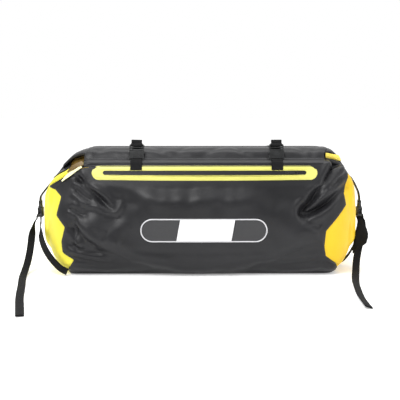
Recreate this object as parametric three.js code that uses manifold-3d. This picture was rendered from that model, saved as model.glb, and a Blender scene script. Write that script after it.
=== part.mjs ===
// Roll-top dry duffel bag, in millimetres.
// +X runs along the bag, -Y is its front (the side with the zip pocket) and +Z is up.
// The origin is the centre of the flat underside.
import * as THREE from 'three';
import { mergeVertices } from 'three/addons/utils/BufferGeometryUtils.js';
import Module from 'manifold-3d';

const wasm = await Module();
wasm.setup();

// ---- Driving dimensions ----
const FABRIC = 3;                 // coated tarpaulin with its welded seams
const GAP = 0.3;                  // between pieces that touch
const BODY_HALF = 262;            // the straight part of the trunk ends here
const END_DEPTH = 88;             // how far a domed end stands out from the straight part
const END_SHARPNESS = 2.6;        // power of the superellipse of a domed end
const HALF_DEPTH = 151;           // of the belly, front and back
const BASE_HALF = 100;            // half width of the flat underside
const CORNER_HEIGHT = 58;         // height of the rounded lower corner
const BELLY_TOP = 132;            // the upright stretch of the belly ends here
const HEART = { y: 0, z: 115 };   // middle of the section
const ZIP_TILT = THREE.MathUtils.degToRad(22);    // the pocket's facet leans back by this
const ZIP_CENTRE = { x: 9, y: -119.5, z: 221 };
const ZIP_FACET_HALF = 20;        // half height of the flat facet that carries the zip
const WELT = { length: 482, height: 30, thickness: 1.6 };
const SLOT = { length: 436, height: 9 };
const PULL_AXIS = 4.4;            // how far the pull's hinge stands out from the pocket's facet
const ROLL = { y: -22, z: 247, halfWidth: 62, halfHeight: 24, left: -300, right: 305 };
const STIFFENER_HALF = 206;      // half length of the flat bar inside the roll
const MOUTH_RIM = { front: -80, back: 34, z: 226 };
const WEB = { wide: 25, narrow: 16, thickness: 1.6 };
const STRAP_X = { left: -138, right: 165 };       // middles of the two top straps
const STRAP_PIVOT = { y: 128, z: 212 };           // seam at the back where a top strap turns
const END_Y = -42;                // the end straps sit a little in front of the middle
const END_X = 358;                // plane of the end buckles
const BADGE = { length: 270, height: 50, thickness: 0.8, x: 7, z: 101.5 };

const COLOURS = {
  tarpaulin: { color: 0x39393b, roughness: 0.5 },
  yellow: { color: 0xf2d522, roughness: 0.45 },
  webbing: { color: 0x141414, roughness: 0.85 },
  plastic: { color: 0x242526, roughness: 0.4 },
  zip: { color: 0x101011, roughness: 0.6 },
  steel: { color: 0x9a9da0, roughness: 0.3, metalness: 1 },
  print: { color: 0xe8e8e8, roughness: 0.5 },
};

// ---- Shared helpers ----
const bag = new THREE.Group();

function addMesh(parent, name, geometry, finish, place = {}) {
  const material = new THREE.MeshStandardMaterial(COLOURS[finish]);
  const mesh = new THREE.Mesh(geometry, material);
  mesh.name = name;
  mesh.position.set(place.x ?? 0, place.y ?? 0, place.z ?? 0);
  mesh.rotation.set(place.turnX ?? 0, place.turnY ?? 0, place.turnZ ?? 0);
  parent.add(mesh);
  return mesh;
}

function withoutShading(geometry) {
  const bare = geometry.clone();
  bare.deleteAttribute('normal');
  bare.deleteAttribute('uv');
  return bare;
}

function toSolid(geometry) {
  const merged = mergeVertices(withoutShading(geometry), 1e-4);
  return new wasm.Manifold(new wasm.Mesh({
    numProp: 3,
    vertProperties: new Float32Array(merged.attributes.position.array),
    triVerts: new Uint32Array(merged.index.array),
  }));
}

function toGeometry(solid) {
  const mesh = solid.getMesh();
  const geometry = new THREE.BufferGeometry();
  geometry.setAttribute('position', new THREE.BufferAttribute(mesh.vertProperties, 3));
  geometry.setIndex(new THREE.BufferAttribute(mesh.triVerts, 1));
  geometry.computeVertexNormals();
  return geometry;
}

const join = (...geometries) => toGeometry(geometries.map(toSolid).reduce((a, b) => a.add(b)));
const cut = (geometry, tool) => toGeometry(toSolid(geometry).subtract(toSolid(tool)));

function box(sizeX, sizeY, sizeZ, x = 0, y = 0, z = 0) {
  return new THREE.BoxGeometry(sizeX, sizeY, sizeZ).translate(x, y, z);
}

// A stadium outline, which is a rectangle with round ends.
function stadium(length, height, PathClass = THREE.Shape) {
  const radius = height / 2;
  const reach = length / 2 - radius;
  const outline = new PathClass();
  outline.moveTo(-reach, -radius);
  outline.lineTo(reach, -radius);
  outline.absarc(reach, 0, radius, -Math.PI / 2, Math.PI / 2, false);
  outline.lineTo(-reach, radius);
  outline.absarc(-reach, 0, radius, Math.PI / 2, 1.5 * Math.PI, false);
  return outline;
}

const plate = (shape, thickness, curveSegments = 10) => new THREE.ExtrudeGeometry(
  shape, { depth: thickness, bevelEnabled: false, curveSegments });

// The same points moved sideways; a positive distance moves them to the left of the way they run.
function offsetLine(points, distance) {
  return points.map((point, i) => {
    const before = points[Math.max(i - 1, 0)];
    const after = points[Math.min(i + 1, points.length - 1)];
    const along = after.clone().sub(before).normalize();
    return new THREE.Vector2(point.x - along.y * distance, point.y + along.x * distance);
  });
}

// A thin strip drawn in the (y, z) plane and stretched along X.
function stripAlongX(points, thickness, length, side = 1) {
  const inner = offsetLine(points, side * thickness);
  const shape = new THREE.Shape([...points, ...inner.reverse()]);
  return turnToX(plate(shape, length)).translate(-length / 2, 0, 0);
}

// Drawn in (y, z), extruded along X.
function turnToX(geometry) {
  const axes = [new THREE.Vector3(0, 1, 0), new THREE.Vector3(0, 0, 1), new THREE.Vector3(1, 0, 0)];
  return geometry.applyMatrix4(new THREE.Matrix4().makeBasis(...axes));
}

// Flat webbing along a line in space. Where it meets a buckle, at the end given by `buckleAt` (0 or 1),
// its width runs along Y. Within the share `twist` of its length it turns its face to `facing`.
function webbingAlong(route, width, steps, buckleAt, twist, facing = [0, 0, 1]) {
  const section = new THREE.Shape();
  section.moveTo(-width / 2, -WEB.thickness / 2);
  section.lineTo(width / 2, -WEB.thickness / 2);
  section.lineTo(width / 2, WEB.thickness / 2);
  section.lineTo(-width / 2, WEB.thickness / 2);
  const ribbon = new THREE.ExtrudeGeometry(section, { depth: 1, steps, bevelEnabled: false });
  const path = new THREE.CatmullRomCurve3(route.map((p) => new THREE.Vector3(...p)), false, 'centripetal');
  const face = new THREE.Vector3(...facing);
  const place = ribbon.attributes.position;
  for (let i = 0; i < place.count; i += 1) {
    const along = place.getZ(i);
    const point = path.getPointAt(along);
    const tangent = path.getTangentAt(along);
    const turned = tangent.clone().cross(face).normalize();
    if (turned.y < 0) turned.negate();
    const fromBuckle = Math.abs(along - buckleAt);
    const across = new THREE.Vector3(0, 1, 0).lerp(turned, THREE.MathUtils.smoothstep(fromBuckle, 0, twist));
    across.addScaledVector(tangent, -across.dot(tangent)).normalize();
    const outward = tangent.clone().cross(across);
    point.addScaledVector(across, place.getX(i)).addScaledVector(outward, place.getY(i));
    place.setXYZ(i, point.x, point.y, point.z);
  }
  return facingOut(mergeVertices(withoutShading(ribbon)));
}

const vectors = (pairs) => pairs.map(([y, z]) => new THREE.Vector2(y, z));

// ---- The trunk's section, as lines of (y, z) points ----
const zipUp = { y: Math.sin(ZIP_TILT), z: Math.cos(ZIP_TILT) };
const facetPoint = (t) => new THREE.Vector2(ZIP_CENTRE.y + t * zipUp.y, ZIP_CENTRE.z + t * zipUp.z);
const facetLow = facetPoint(-ZIP_FACET_HALF);
const facetHigh = facetPoint(ZIP_FACET_HALF);

function lowerCorner(side) {
  const points = [];
  const steps = 6;
  for (let i = 0; i <= steps; i += 1) {
    const turn = (i / steps) * Math.PI / 2;
    points.push(new THREE.Vector2(
      side * (BASE_HALF + (HALF_DEPTH - BASE_HALF) * Math.sin(turn)),
      CORNER_HEIGHT * (1 - Math.cos(turn)),
    ));
  }
  return points;
}

function curvePoints(from, control, to, steps) {
  const curve = new THREE.QuadraticBezierCurve(from, control, to);
  return curve.getPoints(steps).slice(1);
}

const frontBelly = new THREE.Vector2(-HALF_DEPTH, BELLY_TOP);
const backBelly = new THREE.Vector2(HALF_DEPTH, BELLY_TOP);
const backShoulder = new THREE.Vector2(78, 238);
const frontSkin = [
  ...lowerCorner(-1),
  frontBelly,
  ...curvePoints(frontBelly, new THREE.Vector2(-HALF_DEPTH, 143), facetLow, 5),
  facetHigh,
];
const frontCollar = vectors([[-108.5, 240.6], [-103, 238.6], [-96, 234], [-88, 229.5]]);
const backSkin = [
  ...lowerCorner(1),
  backBelly,
  ...curvePoints(backBelly, new THREE.Vector2(HALF_DEPTH, 180), new THREE.Vector2(125, 212), 5),
  ...curvePoints(new THREE.Vector2(125, 212), new THREE.Vector2(108, 236), backShoulder, 4),
];
const backCollar = vectors([[56, 233]]);

// ---- Trunk ----
function addPanels() {
  const slotCutter = plate(stadium(SLOT.length - 4, SLOT.height + 5), 40)
    .translate(0, 0, -20)
    .rotateX(Math.PI / 2 - ZIP_TILT)
    .translate(ZIP_CENTRE.x, ZIP_CENTRE.y, ZIP_CENTRE.z);
  const frontLine = [...frontSkin, ...frontCollar, new THREE.Vector2(MOUTH_RIM.front, MOUTH_RIM.z)];
  const backLine = [...backSkin, ...backCollar, new THREE.Vector2(MOUTH_RIM.back, MOUTH_RIM.z)];
  const length = 2 * BODY_HALF;
  const front = cut(stripAlongX(frontLine, FABRIC, length, -1), slotCutter);
  addMesh(bag, 'front_panel', front, 'tarpaulin');
  addMesh(bag, 'back_panel', stripAlongX(backLine, FABRIC, length, 1), 'tarpaulin');
  const baseWidth = 2 * (BASE_HALF - 1);
  addMesh(bag, 'base_panel', box(length, baseWidth, FABRIC, 0, 0, FABRIC / 2), 'tarpaulin');
}

// Distance from the middle of the section to its outline, in the direction of an angle.
const closedOutline = [
  ...[...backSkin].reverse(),
  ...frontSkin,
  ...frontCollar.slice(0, 2),
  ...vectors([[-60, 236], [-20, 233], [30, 233]]),
];

function outlineReach(angle) {
  const ray = new THREE.Vector2(Math.cos(angle), Math.sin(angle));
  let reach = 0;
  closedOutline.forEach((start, i) => {
    const end = closedOutline[(i + 1) % closedOutline.length];
    const a = new THREE.Vector2(start.x - HEART.y, start.y - HEART.z);
    const edge = new THREE.Vector2(end.x - start.x, end.y - start.y);
    const spread = ray.cross(edge);
    if (Math.abs(spread) < 1e-9) return;
    const distance = a.cross(edge) / spread;
    const share = a.cross(ray) / spread;
    if (distance > 0 && share >= -1e-6 && share <= 1 + 1e-6) reach = Math.max(reach, distance);
  });
  return reach;
}

// A domed end: a dish turned about the bag's long axis, then pulled out to the trunk's section.
function endPanel(side) {
  const rings = 9;
  const outer = [];
  const inner = [];
  const inset = FABRIC / HALF_DEPTH;
  for (let i = 0; i <= rings; i += 1) {
    const turn = (i / rings) * Math.PI / 2;
    const wide = Math.sin(turn) ** (2 / END_SHARPNESS);
    const deep = Math.cos(turn) ** (2 / END_SHARPNESS);
    outer.push(new THREE.Vector2(i ? wide : 0, i < rings ? deep * END_DEPTH : 0));
    inner.push(new THREE.Vector2(i ? wide * (1 - inset) : 0, i < rings ? deep * (END_DEPTH - FABRIC) : 0));
  }
  const dish = new THREE.LatheGeometry([...outer, ...inner.reverse()], 36);
  const place = dish.attributes.position;
  for (let i = 0; i < place.count; i += 1) {
    const share = Math.hypot(place.getX(i), place.getZ(i));
    const angle = Math.atan2(place.getZ(i) * side, place.getX(i));
    const reach = share * outlineReach(angle);
    place.setXYZ(
      i,
      side * (BODY_HALF + GAP + place.getY(i)),
      HEART.y + reach * Math.cos(angle),
      HEART.z + reach * Math.sin(angle),
    );
  }
  return facingOut(dish);
}

// Turns a closed mesh's faces over if they point inwards.
function facingOut(geometry) {
  const place = geometry.attributes.position;
  const corners = geometry.index.array;
  const a = new THREE.Vector3();
  const b = new THREE.Vector3();
  const c = new THREE.Vector3();
  let volume = 0;
  for (let i = 0; i < corners.length; i += 3) {
    a.fromBufferAttribute(place, corners[i]);
    b.fromBufferAttribute(place, corners[i + 1]);
    c.fromBufferAttribute(place, corners[i + 2]);
    volume += a.dot(b.cross(c));
  }
  if (volume < 0) corners.reverse();
  geometry.computeVertexNormals();
  return geometry;
}

// ---- Zip pocket: everything here lies in the plane of the facet ----
function addPocket() {
  const facet = new THREE.Group();
  facet.position.set(ZIP_CENTRE.x, ZIP_CENTRE.y, ZIP_CENTRE.z);
  facet.rotation.x = Math.PI / 2 - ZIP_TILT;
  bag.add(facet);

  const welt = stadium(WELT.length, WELT.height);
  welt.holes.push(stadium(SLOT.length, SLOT.height, THREE.Path));
  addMesh(facet, 'pocket_welt', plate(welt, WELT.thickness), 'yellow', { z: GAP });

  const tapeReach = SLOT.length / 2 - 10;
  const tapeThickness = 1.2;
  const splitHalf = 0.5;          // half of the split between the two rows of teeth
  const tapeHeight = SLOT.height / 2 - splitHalf;
  for (const [name, side] of [['upper', 1], ['lower', -1]]) {
    const middle = side * (splitHalf + tapeHeight / 2);
    const tape = box(2 * tapeReach, tapeHeight, tapeThickness, 0, middle, -1);
    addMesh(facet, `zip_tape_${name}`, tape, 'zip');
  }
  for (const [name, side] of [['left', -1], ['right', 1]]) {
    const stop = box(4, 7, tapeThickness, side * (tapeReach + 2 + GAP), 0, -1);
    addMesh(facet, `zip_stop_${name}`, stop, 'plastic');
  }

  const sliderReach = tapeReach - 10;
  const slider = join(
    box(12, 9, 1.2, 0, 0, 0.5),
    box(12, 0.4, 2.8, 0, 0, -1),
    box(12, 9, 1.2, 0, 0, -2.6),
    box(1.2, 1, 3.6, 0, -3.6, 2.6),
    box(1.2, 1, 3.6, 0, 3.6, 2.6),
    box(1.2, 8.2, 0.8, 0, 0, PULL_AXIS),
  );
  addMesh(facet, 'zip_slider', slider, 'plastic', { x: sliderReach });

  // The pull hooks under the slider's bar by its eye and lies flat along the zip.
  const pull = new THREE.Shape();
  pull.moveTo(2, -2.6);
  pull.lineTo(2, 2.6);
  pull.lineTo(-6, 2.6);
  pull.lineTo(-9, 3.5);
  pull.absarc(-22, 0, 3.5, Math.PI / 2, 1.5 * Math.PI, false);
  pull.lineTo(-9, -3.5);
  pull.lineTo(-6, -2.6);
  const eye = new THREE.Path();
  eye.moveTo(1, -1.8);
  eye.lineTo(-4, -1.8);
  eye.lineTo(-4, 1.8);
  eye.lineTo(1, 1.8);
  pull.holes.push(eye);
  addMesh(facet, 'zip_pull', plate(pull, 0.8), 'plastic', { x: sliderReach, z: PULL_AXIS - 1.7 });

  const liner = plate(stadium(SLOT.length + 30, ZIP_FACET_HALF * 2 - 6), 0.8);
  addMesh(facet, 'pocket_liner', liner, 'tarpaulin', { z: -FABRIC - 1.4 });
}

// ---- Printed badge: a plain stadium with no lettering ----
function addBadge() {
  const outline = plate(stadium(BADGE.length, BADGE.height), BADGE.thickness);
  addMesh(bag, 'badge', outline, 'print', {
    x: BADGE.x, y: -HALF_DEPTH - GAP, z: BADGE.z, turnX: Math.PI / 2,
  });
}

// ---- Side-release buckles: drawn with the tongue pointing down and the face towards -Y ----
const BUCKLE = { wall: 1.6, socketDepth: 7, tongue: 3.6, mouthHeight: 22, maleHeight: 26 };

// The socket half. Its lower end has a slot that the webbing passes through.
function femaleBuckle(webWidth) {
  const width = webWidth + 9;
  const depth = BUCKLE.socketDepth + 2 * BUCKLE.wall;
  const shell = box(width, depth, BUCKLE.mouthHeight, 0, 0, -BUCKLE.mouthHeight / 2);
  const socketHeight = BUCKLE.mouthHeight - 8;
  const socket = box(width - 5, BUCKLE.socketDepth, socketHeight + 2, 0, 0, 1 - socketHeight / 2);
  const webSlot = box(webWidth + 1, depth + 2, 3.4, 0, 0, -BUCKLE.mouthHeight + 4);
  return cut(cut(shell, socket), webSlot);
}

// The tongue half. Its bridge stays above the socket and its two prongs reach into it.
function maleBuckle(webWidth) {
  const width = webWidth + 9;
  const prongLength = 11;
  const bridgeHeight = BUCKLE.maleHeight - prongLength;
  const bridge = box(width - 2, BUCKLE.socketDepth, bridgeHeight, 0, 0, GAP + bridgeHeight / 2);
  const prong = (side) => box(
    4, BUCKLE.tongue, prongLength + 2, side * (width / 2 - 6), 0, GAP + 1 - prongLength / 2);
  const guide = box(5, BUCKLE.tongue, prongLength + 1, 0, 0, GAP + 0.5 - prongLength / 2);
  const webSlot = box(webWidth + 1, BUCKLE.socketDepth + 2, 3.4, 0, 0, bridgeHeight - 4);
  return cut(join(bridge, prong(-1), prong(1), guide), webSlot);
}

// ---- Closure: the rolled collar, its stiffener and what hangs from its ends ----
// Inside the trunk the roll hangs between the two rims. Past the rims it lies on the domed ends,
// so its underside rises there, and its top gets lower towards its tips.
function rollUnderside(x) {
  const rise = THREE.MathUtils.smoothstep(Math.abs(x), 210, 254);
  return ROLL.z - ROLL.halfHeight + 22 * rise;
}

function rollTop(x) {
  const left = THREE.MathUtils.smoothstep(-x, 240, -ROLL.left);
  const right = THREE.MathUtils.smoothstep(x, 280, ROLL.right);
  return ROLL.z + ROLL.halfHeight - 9 * left - 4 * right;
}

function rollBody(hollow) {
  const section = new THREE.Shape();
  section.absellipse(0, 0, ROLL.halfWidth, ROLL.halfHeight, 0, 2 * Math.PI, false);
  section.holes.push(hollow);
  const length = ROLL.right - ROLL.left;
  const body = new THREE.ExtrudeGeometry(
    section, { depth: length, steps: 22, bevelEnabled: false, curveSegments: 12 });
  turnToX(body).translate(ROLL.left, ROLL.y, 0);
  const place = body.attributes.position;
  for (let i = 0; i < place.count; i += 1) {
    const x = place.getX(i);
    const share = 0.5 + place.getZ(i) / (2 * ROLL.halfHeight);
    place.setZ(i, THREE.MathUtils.lerp(rollUnderside(x), rollTop(x), share));
  }
  return body;
}

function addClosure() {
  const core = { width: 40, height: 5 };
  const hollow = new THREE.Path();
  hollow.moveTo(-core.width / 2, -core.height / 2);
  hollow.lineTo(core.width / 2, -core.height / 2);
  hollow.lineTo(core.width / 2, core.height / 2);
  hollow.lineTo(-core.width / 2, core.height / 2);
  addMesh(bag, 'closure_roll', rollBody(hollow), 'tarpaulin');
  const stiffener = box(2 * STIFFENER_HALF, core.width - 4, 2, 0, ROLL.y, ROLL.z);
  addMesh(bag, 'closure_stiffener', stiffener, 'plastic');
}

// ---- The two ends: closure strap, buckle, anchored webbing, loose tail and ring ----
const END_BUCKLE_Z = 138;         // mouth of the end sockets
const TAIL_ROUTES = {
  left: [
    [-366, -47, 113], [-371, -53, 102], [-375, -62, 78], [-377, -77, 48], [-379, -98, 24], [-380, -128, 9],
    [-377, -165, 4], [-362, -252, 3.4], [-347, -341, 3.4], [-332, -414, 3.4], [-319, -476, 3.4],
  ],
  right: [
    [366, -47, 113], [368, -54, 102], [362, -63, 78], [353, -74, 50], [345, -92, 25], [338, -122, 9],
    [330, -160, 4.6], [319, -220, 4], [311, -285, 4], [305, -345, 4], [303, -423, 4],
  ],
};
// From the base seam, up the end to the socket half. The left one is sewn at the front corner, where
// its face looks forward.
const LOWER_FACES = { left: [-0.3, -0.95, -0.1], right: [0, 0, 1] };
const LOWER_ROUTES = {
  left: [
    [-286, -140, 10], [-300, -139, 17], [-315, -136, 31], [-330, -127, 48], [-343, -110, 67],
    [-352, -85, 84], [-357, -57, 96], [-358, -44, 104], [-358, -42, 112.6],
  ],
  right: [
    [298, -25, 3.5], [312, -26, 5.5], [327, -29, 13], [340, -33, 30], [351, -37, 54], [358, -40, 84],
    [358, -42, 114.6],
  ],
};

function addEnd(name, side) {
  const buckle = new THREE.Group();
  buckle.position.set(side * END_X, END_Y, END_BUCKLE_Z);
  buckle.rotation.z = side * Math.PI / 2;
  bag.add(buckle);
  addMesh(buckle, `${name}_end_female`, femaleBuckle(WEB.narrow), 'plastic');
  addMesh(buckle, `${name}_end_male`, maleBuckle(WEB.narrow), 'plastic');

  // From the end of the roll, out over the shoulder and down to the tongue half.
  const rollEnd = side > 0 ? ROLL.right : -ROLL.left;
  const webX = END_X + 2;
  const strapLine = [
    [rollEnd + 0.5, 256], [rollEnd + 14, 253], [rollEnd + 28, 243], [rollEnd + 39, 228],
    [webX - 7, 207], [webX - 2, 186], [webX, 168], [webX, END_BUCKLE_Z + 16.4],
  ].map(([x, z]) => new THREE.Vector2(x, z));
  const inner = offsetLine(strapLine, -WEB.thickness);
  const strap = plate(new THREE.Shape([...strapLine, ...inner.reverse()]), WEB.narrow)
    .rotateX(Math.PI / 2)
    .translate(0, WEB.narrow / 2, 0);
  if (side < 0) strap.rotateZ(Math.PI);
  addMesh(bag, `${name}_roll_web`, facingOut(mergeVertices(withoutShading(strap))), 'webbing', { y: END_Y });

  const lower = webbingAlong(LOWER_ROUTES[name], WEB.narrow, 24, 1, 0.3, LOWER_FACES[name]);
  addMesh(bag, `${name}_lower_web`, lower, 'webbing');
  const tail = webbingAlong(TAIL_ROUTES[name], WEB.narrow, 44, 0, 0.14);
  addMesh(bag, `${name}_tail`, tail, 'webbing');
}

// ---- Lashing rings, each hanging from a webbing tab behind the end strap ----
const RING = { y: 26, z: 130, x: 353, radius: 13, wire: 2, loopRadius: 3.4 };

function addRing(name, side) {
  const x = side * RING.x;
  const hanger = new THREE.Group();
  hanger.position.set(x, RING.y, RING.z);
  bag.add(hanger);
  // A short tab whose lower end is a sleeve for the ring's straight bar.
  const sleeve = new THREE.Shape();
  sleeve.absarc(0, 0, RING.loopRadius + WEB.thickness, 0, 2 * Math.PI, false);
  const bore = new THREE.Path();
  bore.absarc(0, 0, RING.loopRadius, 0, 2 * Math.PI, false);
  sleeve.holes.push(bore);
  const tabWidth = 18;
  const tube = plate(sleeve, tabWidth, 8).rotateX(Math.PI / 2).translate(0, tabWidth / 2, 0);
  const flap = box(WEB.thickness, tabWidth, 26, 0, 0, 17);
  addMesh(hanger, `${name}_ring_tab`, join(tube, flap), 'webbing', { x: side * 2.4 });
  // The ring: a bar through the sleeve and a round bow below it.
  const barHalf = 13;
  const bow = new THREE.CurvePath();
  const corners = [
    [0, -barHalf, -1], [0, -barHalf, -8], [0, -9.5, -16], [0, -4, -20.5], [0, 4, -20.5], [0, 9.5, -16],
    [0, barHalf, -8], [0, barHalf, -1],
  ].map((p) => new THREE.Vector3(...p));
  bow.add(new THREE.CatmullRomCurve3(corners));
  const wire = new THREE.Shape();
  wire.absarc(0, 0, RING.wire, 0, 2 * Math.PI, false);
  const bend = new THREE.ExtrudeGeometry(
    wire, { steps: 20, bevelEnabled: false, curveSegments: 5, extrudePath: bow });
  const bar = new THREE.CylinderGeometry(RING.wire, RING.wire, 2 * barHalf + 2 * RING.wire, 10);
  addMesh(hanger, `${name}_ring`, join(bar, bend), 'steel', { x: side * 2.4 });
}

// ---- Top straps: over the roll from a seam at the back to a buckle at the front ----
const STRAP_LINE = [
  [127.2, 215], [119, 228], [103, 240], [84, 248], [64, 254.5], [44, 262.5], [24, 268.8], [2, 272.4],
  [-22, 273.8], [-46, 274.2], [-68, 275.2], [-84.4, 277],
];
const TOP_BUCKLE = { y: -93, z: 266 };
// A top buckle points along the circle that its tongue takes round the strap's seam.
const TOP_LEAN = Math.atan2(TOP_BUCKLE.z - STRAP_PIVOT.z, STRAP_PIVOT.y - TOP_BUCKLE.y);

function addTopStrap(name, x) {
  const group = new THREE.Group();
  group.position.x = x;
  bag.add(group);
  addMesh(group, `${name}_strap_web`, stripAlongX(vectors(STRAP_LINE), WEB.thickness, WEB.wide, -1), 'webbing');

  const buckle = new THREE.Group();
  buckle.position.set(0, TOP_BUCKLE.y, TOP_BUCKLE.z);
  buckle.rotation.x = -TOP_LEAN;
  group.add(buckle);
  addMesh(buckle, `${name}_top_female`, femaleBuckle(WEB.wide), 'plastic');
  addMesh(buckle, `${name}_top_male`, maleBuckle(WEB.wide), 'plastic');

  // Stub of the strap that sticks up beyond the tongue half.
  const stub = box(WEB.wide - 5, WEB.thickness, 10, 0, -1, 21.5);
  addMesh(buckle, `${name}_strap_stub`, stub, 'webbing');

  // Short webbing from the pocket's upper edge to the socket half.
  const frontLine = vectors([
    [-118.4, 231.8], [-115.8, 239.4], [-111.4, 242.8], [-105.4, 242.6], [-99.4, 240.4],
  ]);
  addMesh(group, `${name}_front_web`, stripAlongX(frontLine, WEB.thickness, WEB.wide, 1), 'webbing');

  // Patch of doubled webbing sewn on the back, where the strap turns.
  const patchLine = vectors([[150.8, 150], [147.4, 174], [141, 192], [135.6, 202]]);
  addMesh(group, `${name}_back_anchor`, stripAlongX(patchLine, WEB.thickness, WEB.wide, -1), 'webbing');
}

// ---- Assembly ----
addPanels();
addMesh(bag, 'left_end_panel', endPanel(-1), 'yellow');
addMesh(bag, 'right_end_panel', endPanel(1), 'yellow');
addPocket();
addBadge();
addClosure();
for (const [name, side] of [['left', -1], ['right', 1]]) {
  addEnd(name, side);
  addRing(name, side);
  addTopStrap(name, STRAP_X[name]);
}

export default bag;
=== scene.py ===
import math

import bmesh
import bpy
import numpy as np
from mathutils import Matrix, Vector
from mathutils.bvhtree import BVHTree


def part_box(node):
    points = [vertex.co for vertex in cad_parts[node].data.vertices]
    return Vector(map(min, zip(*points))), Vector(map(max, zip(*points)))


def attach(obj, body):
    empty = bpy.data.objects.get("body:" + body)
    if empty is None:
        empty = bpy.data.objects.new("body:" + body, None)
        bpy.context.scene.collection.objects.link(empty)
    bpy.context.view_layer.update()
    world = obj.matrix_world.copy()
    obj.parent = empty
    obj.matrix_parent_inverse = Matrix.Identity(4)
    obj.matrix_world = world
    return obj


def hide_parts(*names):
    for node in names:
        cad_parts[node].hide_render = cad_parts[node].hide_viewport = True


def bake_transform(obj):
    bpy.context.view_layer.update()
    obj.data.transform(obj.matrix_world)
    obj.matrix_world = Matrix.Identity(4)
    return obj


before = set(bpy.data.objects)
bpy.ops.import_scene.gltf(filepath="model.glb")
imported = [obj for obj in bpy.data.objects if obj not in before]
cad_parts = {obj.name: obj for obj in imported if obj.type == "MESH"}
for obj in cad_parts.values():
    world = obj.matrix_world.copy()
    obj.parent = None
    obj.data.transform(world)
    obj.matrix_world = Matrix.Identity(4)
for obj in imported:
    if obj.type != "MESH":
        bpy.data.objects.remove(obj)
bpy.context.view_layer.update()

MM = 0.001
SIDES = (("left", -1), ("right", 1))


def middle(node):
    lo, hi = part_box(node)
    return (lo + hi) / 2


# ---------------------------------------------------------------- camera, light and floor

LOOK_AT = Vector((0, 0, 0.148))
CAMERA_DISTANCE = 1.9
CAMERA_AZIMUTH = math.radians(-0.5)
CAMERA_ELEVATION = math.radians(7)


def add_camera():
    data = bpy.data.cameras.new("camera")
    data.sensor_width = 36
    data.lens = 74.4
    camera = bpy.data.objects.new("camera", data)
    bpy.context.scene.collection.objects.link(camera)
    back = Vector((
        math.sin(CAMERA_AZIMUTH) * math.cos(CAMERA_ELEVATION),
        -math.cos(CAMERA_AZIMUTH) * math.cos(CAMERA_ELEVATION),
        math.sin(CAMERA_ELEVATION),
    ))
    camera.location = LOOK_AT + back * CAMERA_DISTANCE
    camera.rotation_mode = "QUATERNION"
    camera.rotation_quaternion = (-back).to_track_quat("-Z", "Y")
    bpy.context.scene.camera = camera


def add_area_light(name, place, size, power, aim=(0, 0, 0.13)):
    data = bpy.data.lights.new(name, "AREA")
    data.shape = "RECTANGLE"
    data.size, data.size_y = size
    data.energy = power
    light = bpy.data.objects.new(name, data)
    bpy.context.scene.collection.objects.link(light)
    light.location = place
    light.rotation_mode = "QUATERNION"
    light.rotation_quaternion = (Vector(aim) - Vector(place)).to_track_quat("-Z", "Y")


WALL_BEHIND_CAMERA = 0.24      # the studio is darker behind the camera, so that folds show


def add_studio():
    world = bpy.data.worlds.new("studio")
    bpy.context.scene.world = world
    world.use_nodes = True
    tree = world.node_tree
    background = tree.nodes["Background"]
    direction = tree.nodes.new("ShaderNodeSeparateXYZ")
    tree.links.new(tree.nodes.new("ShaderNodeTexCoord").outputs["Generated"], direction.inputs[0])
    shade = tree.nodes.new("ShaderNodeMapRange")
    shade.interpolation_type = "SMOOTHSTEP"
    shade.inputs["From Min"].default_value = -0.9
    shade.inputs["From Max"].default_value = 0.15
    shade.inputs["To Min"].default_value = WALL_BEHIND_CAMERA
    shade.inputs["To Max"].default_value = 1.0
    tree.links.new(direction.outputs[1], shade.inputs["Value"])
    tree.links.new(shade.outputs["Result"], background.inputs["Strength"])
    background.inputs["Color"].default_value = (1, 1, 1, 1)
    add_area_light("key", (-0.9, -1.5, 2.0), (1.2, 0.8), 40)
    add_area_light("fill", (1.9, -1.5, 1.1), (0.8, 1.2), 13)
    add_area_light("top", (0.1, 0.3, 2.2), (2.4, 0.9), 26)
    bpy.context.scene.view_settings.view_transform = "Standard"

    floor = bpy.data.meshes.new("floor")
    reach = 14
    corners = [(-reach, -reach, 0), (reach, -reach, 0), (reach, reach, 0), (-reach, reach, 0)]
    floor.from_pydata(corners, [], [(0, 1, 2, 3)])
    floor_object = bpy.data.objects.new("floor", floor)
    bpy.context.scene.collection.objects.link(floor_object)
    material = bpy.data.materials.new("floor")
    material.use_nodes = True
    shader = material.node_tree.nodes["Principled BSDF"]
    shader.inputs["Base Color"].default_value = (0.95, 0.95, 0.95, 1)
    shader.inputs["Roughness"].default_value = 0.9
    shader.inputs["Specular IOR Level"].default_value = 0.0
    shader.inputs["Emission Color"].default_value = (1, 1, 1, 1)
    shader.inputs["Emission Strength"].default_value = 0.3
    floor.materials.append(material)


# ---------------------------------------------------------------- materials

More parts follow.
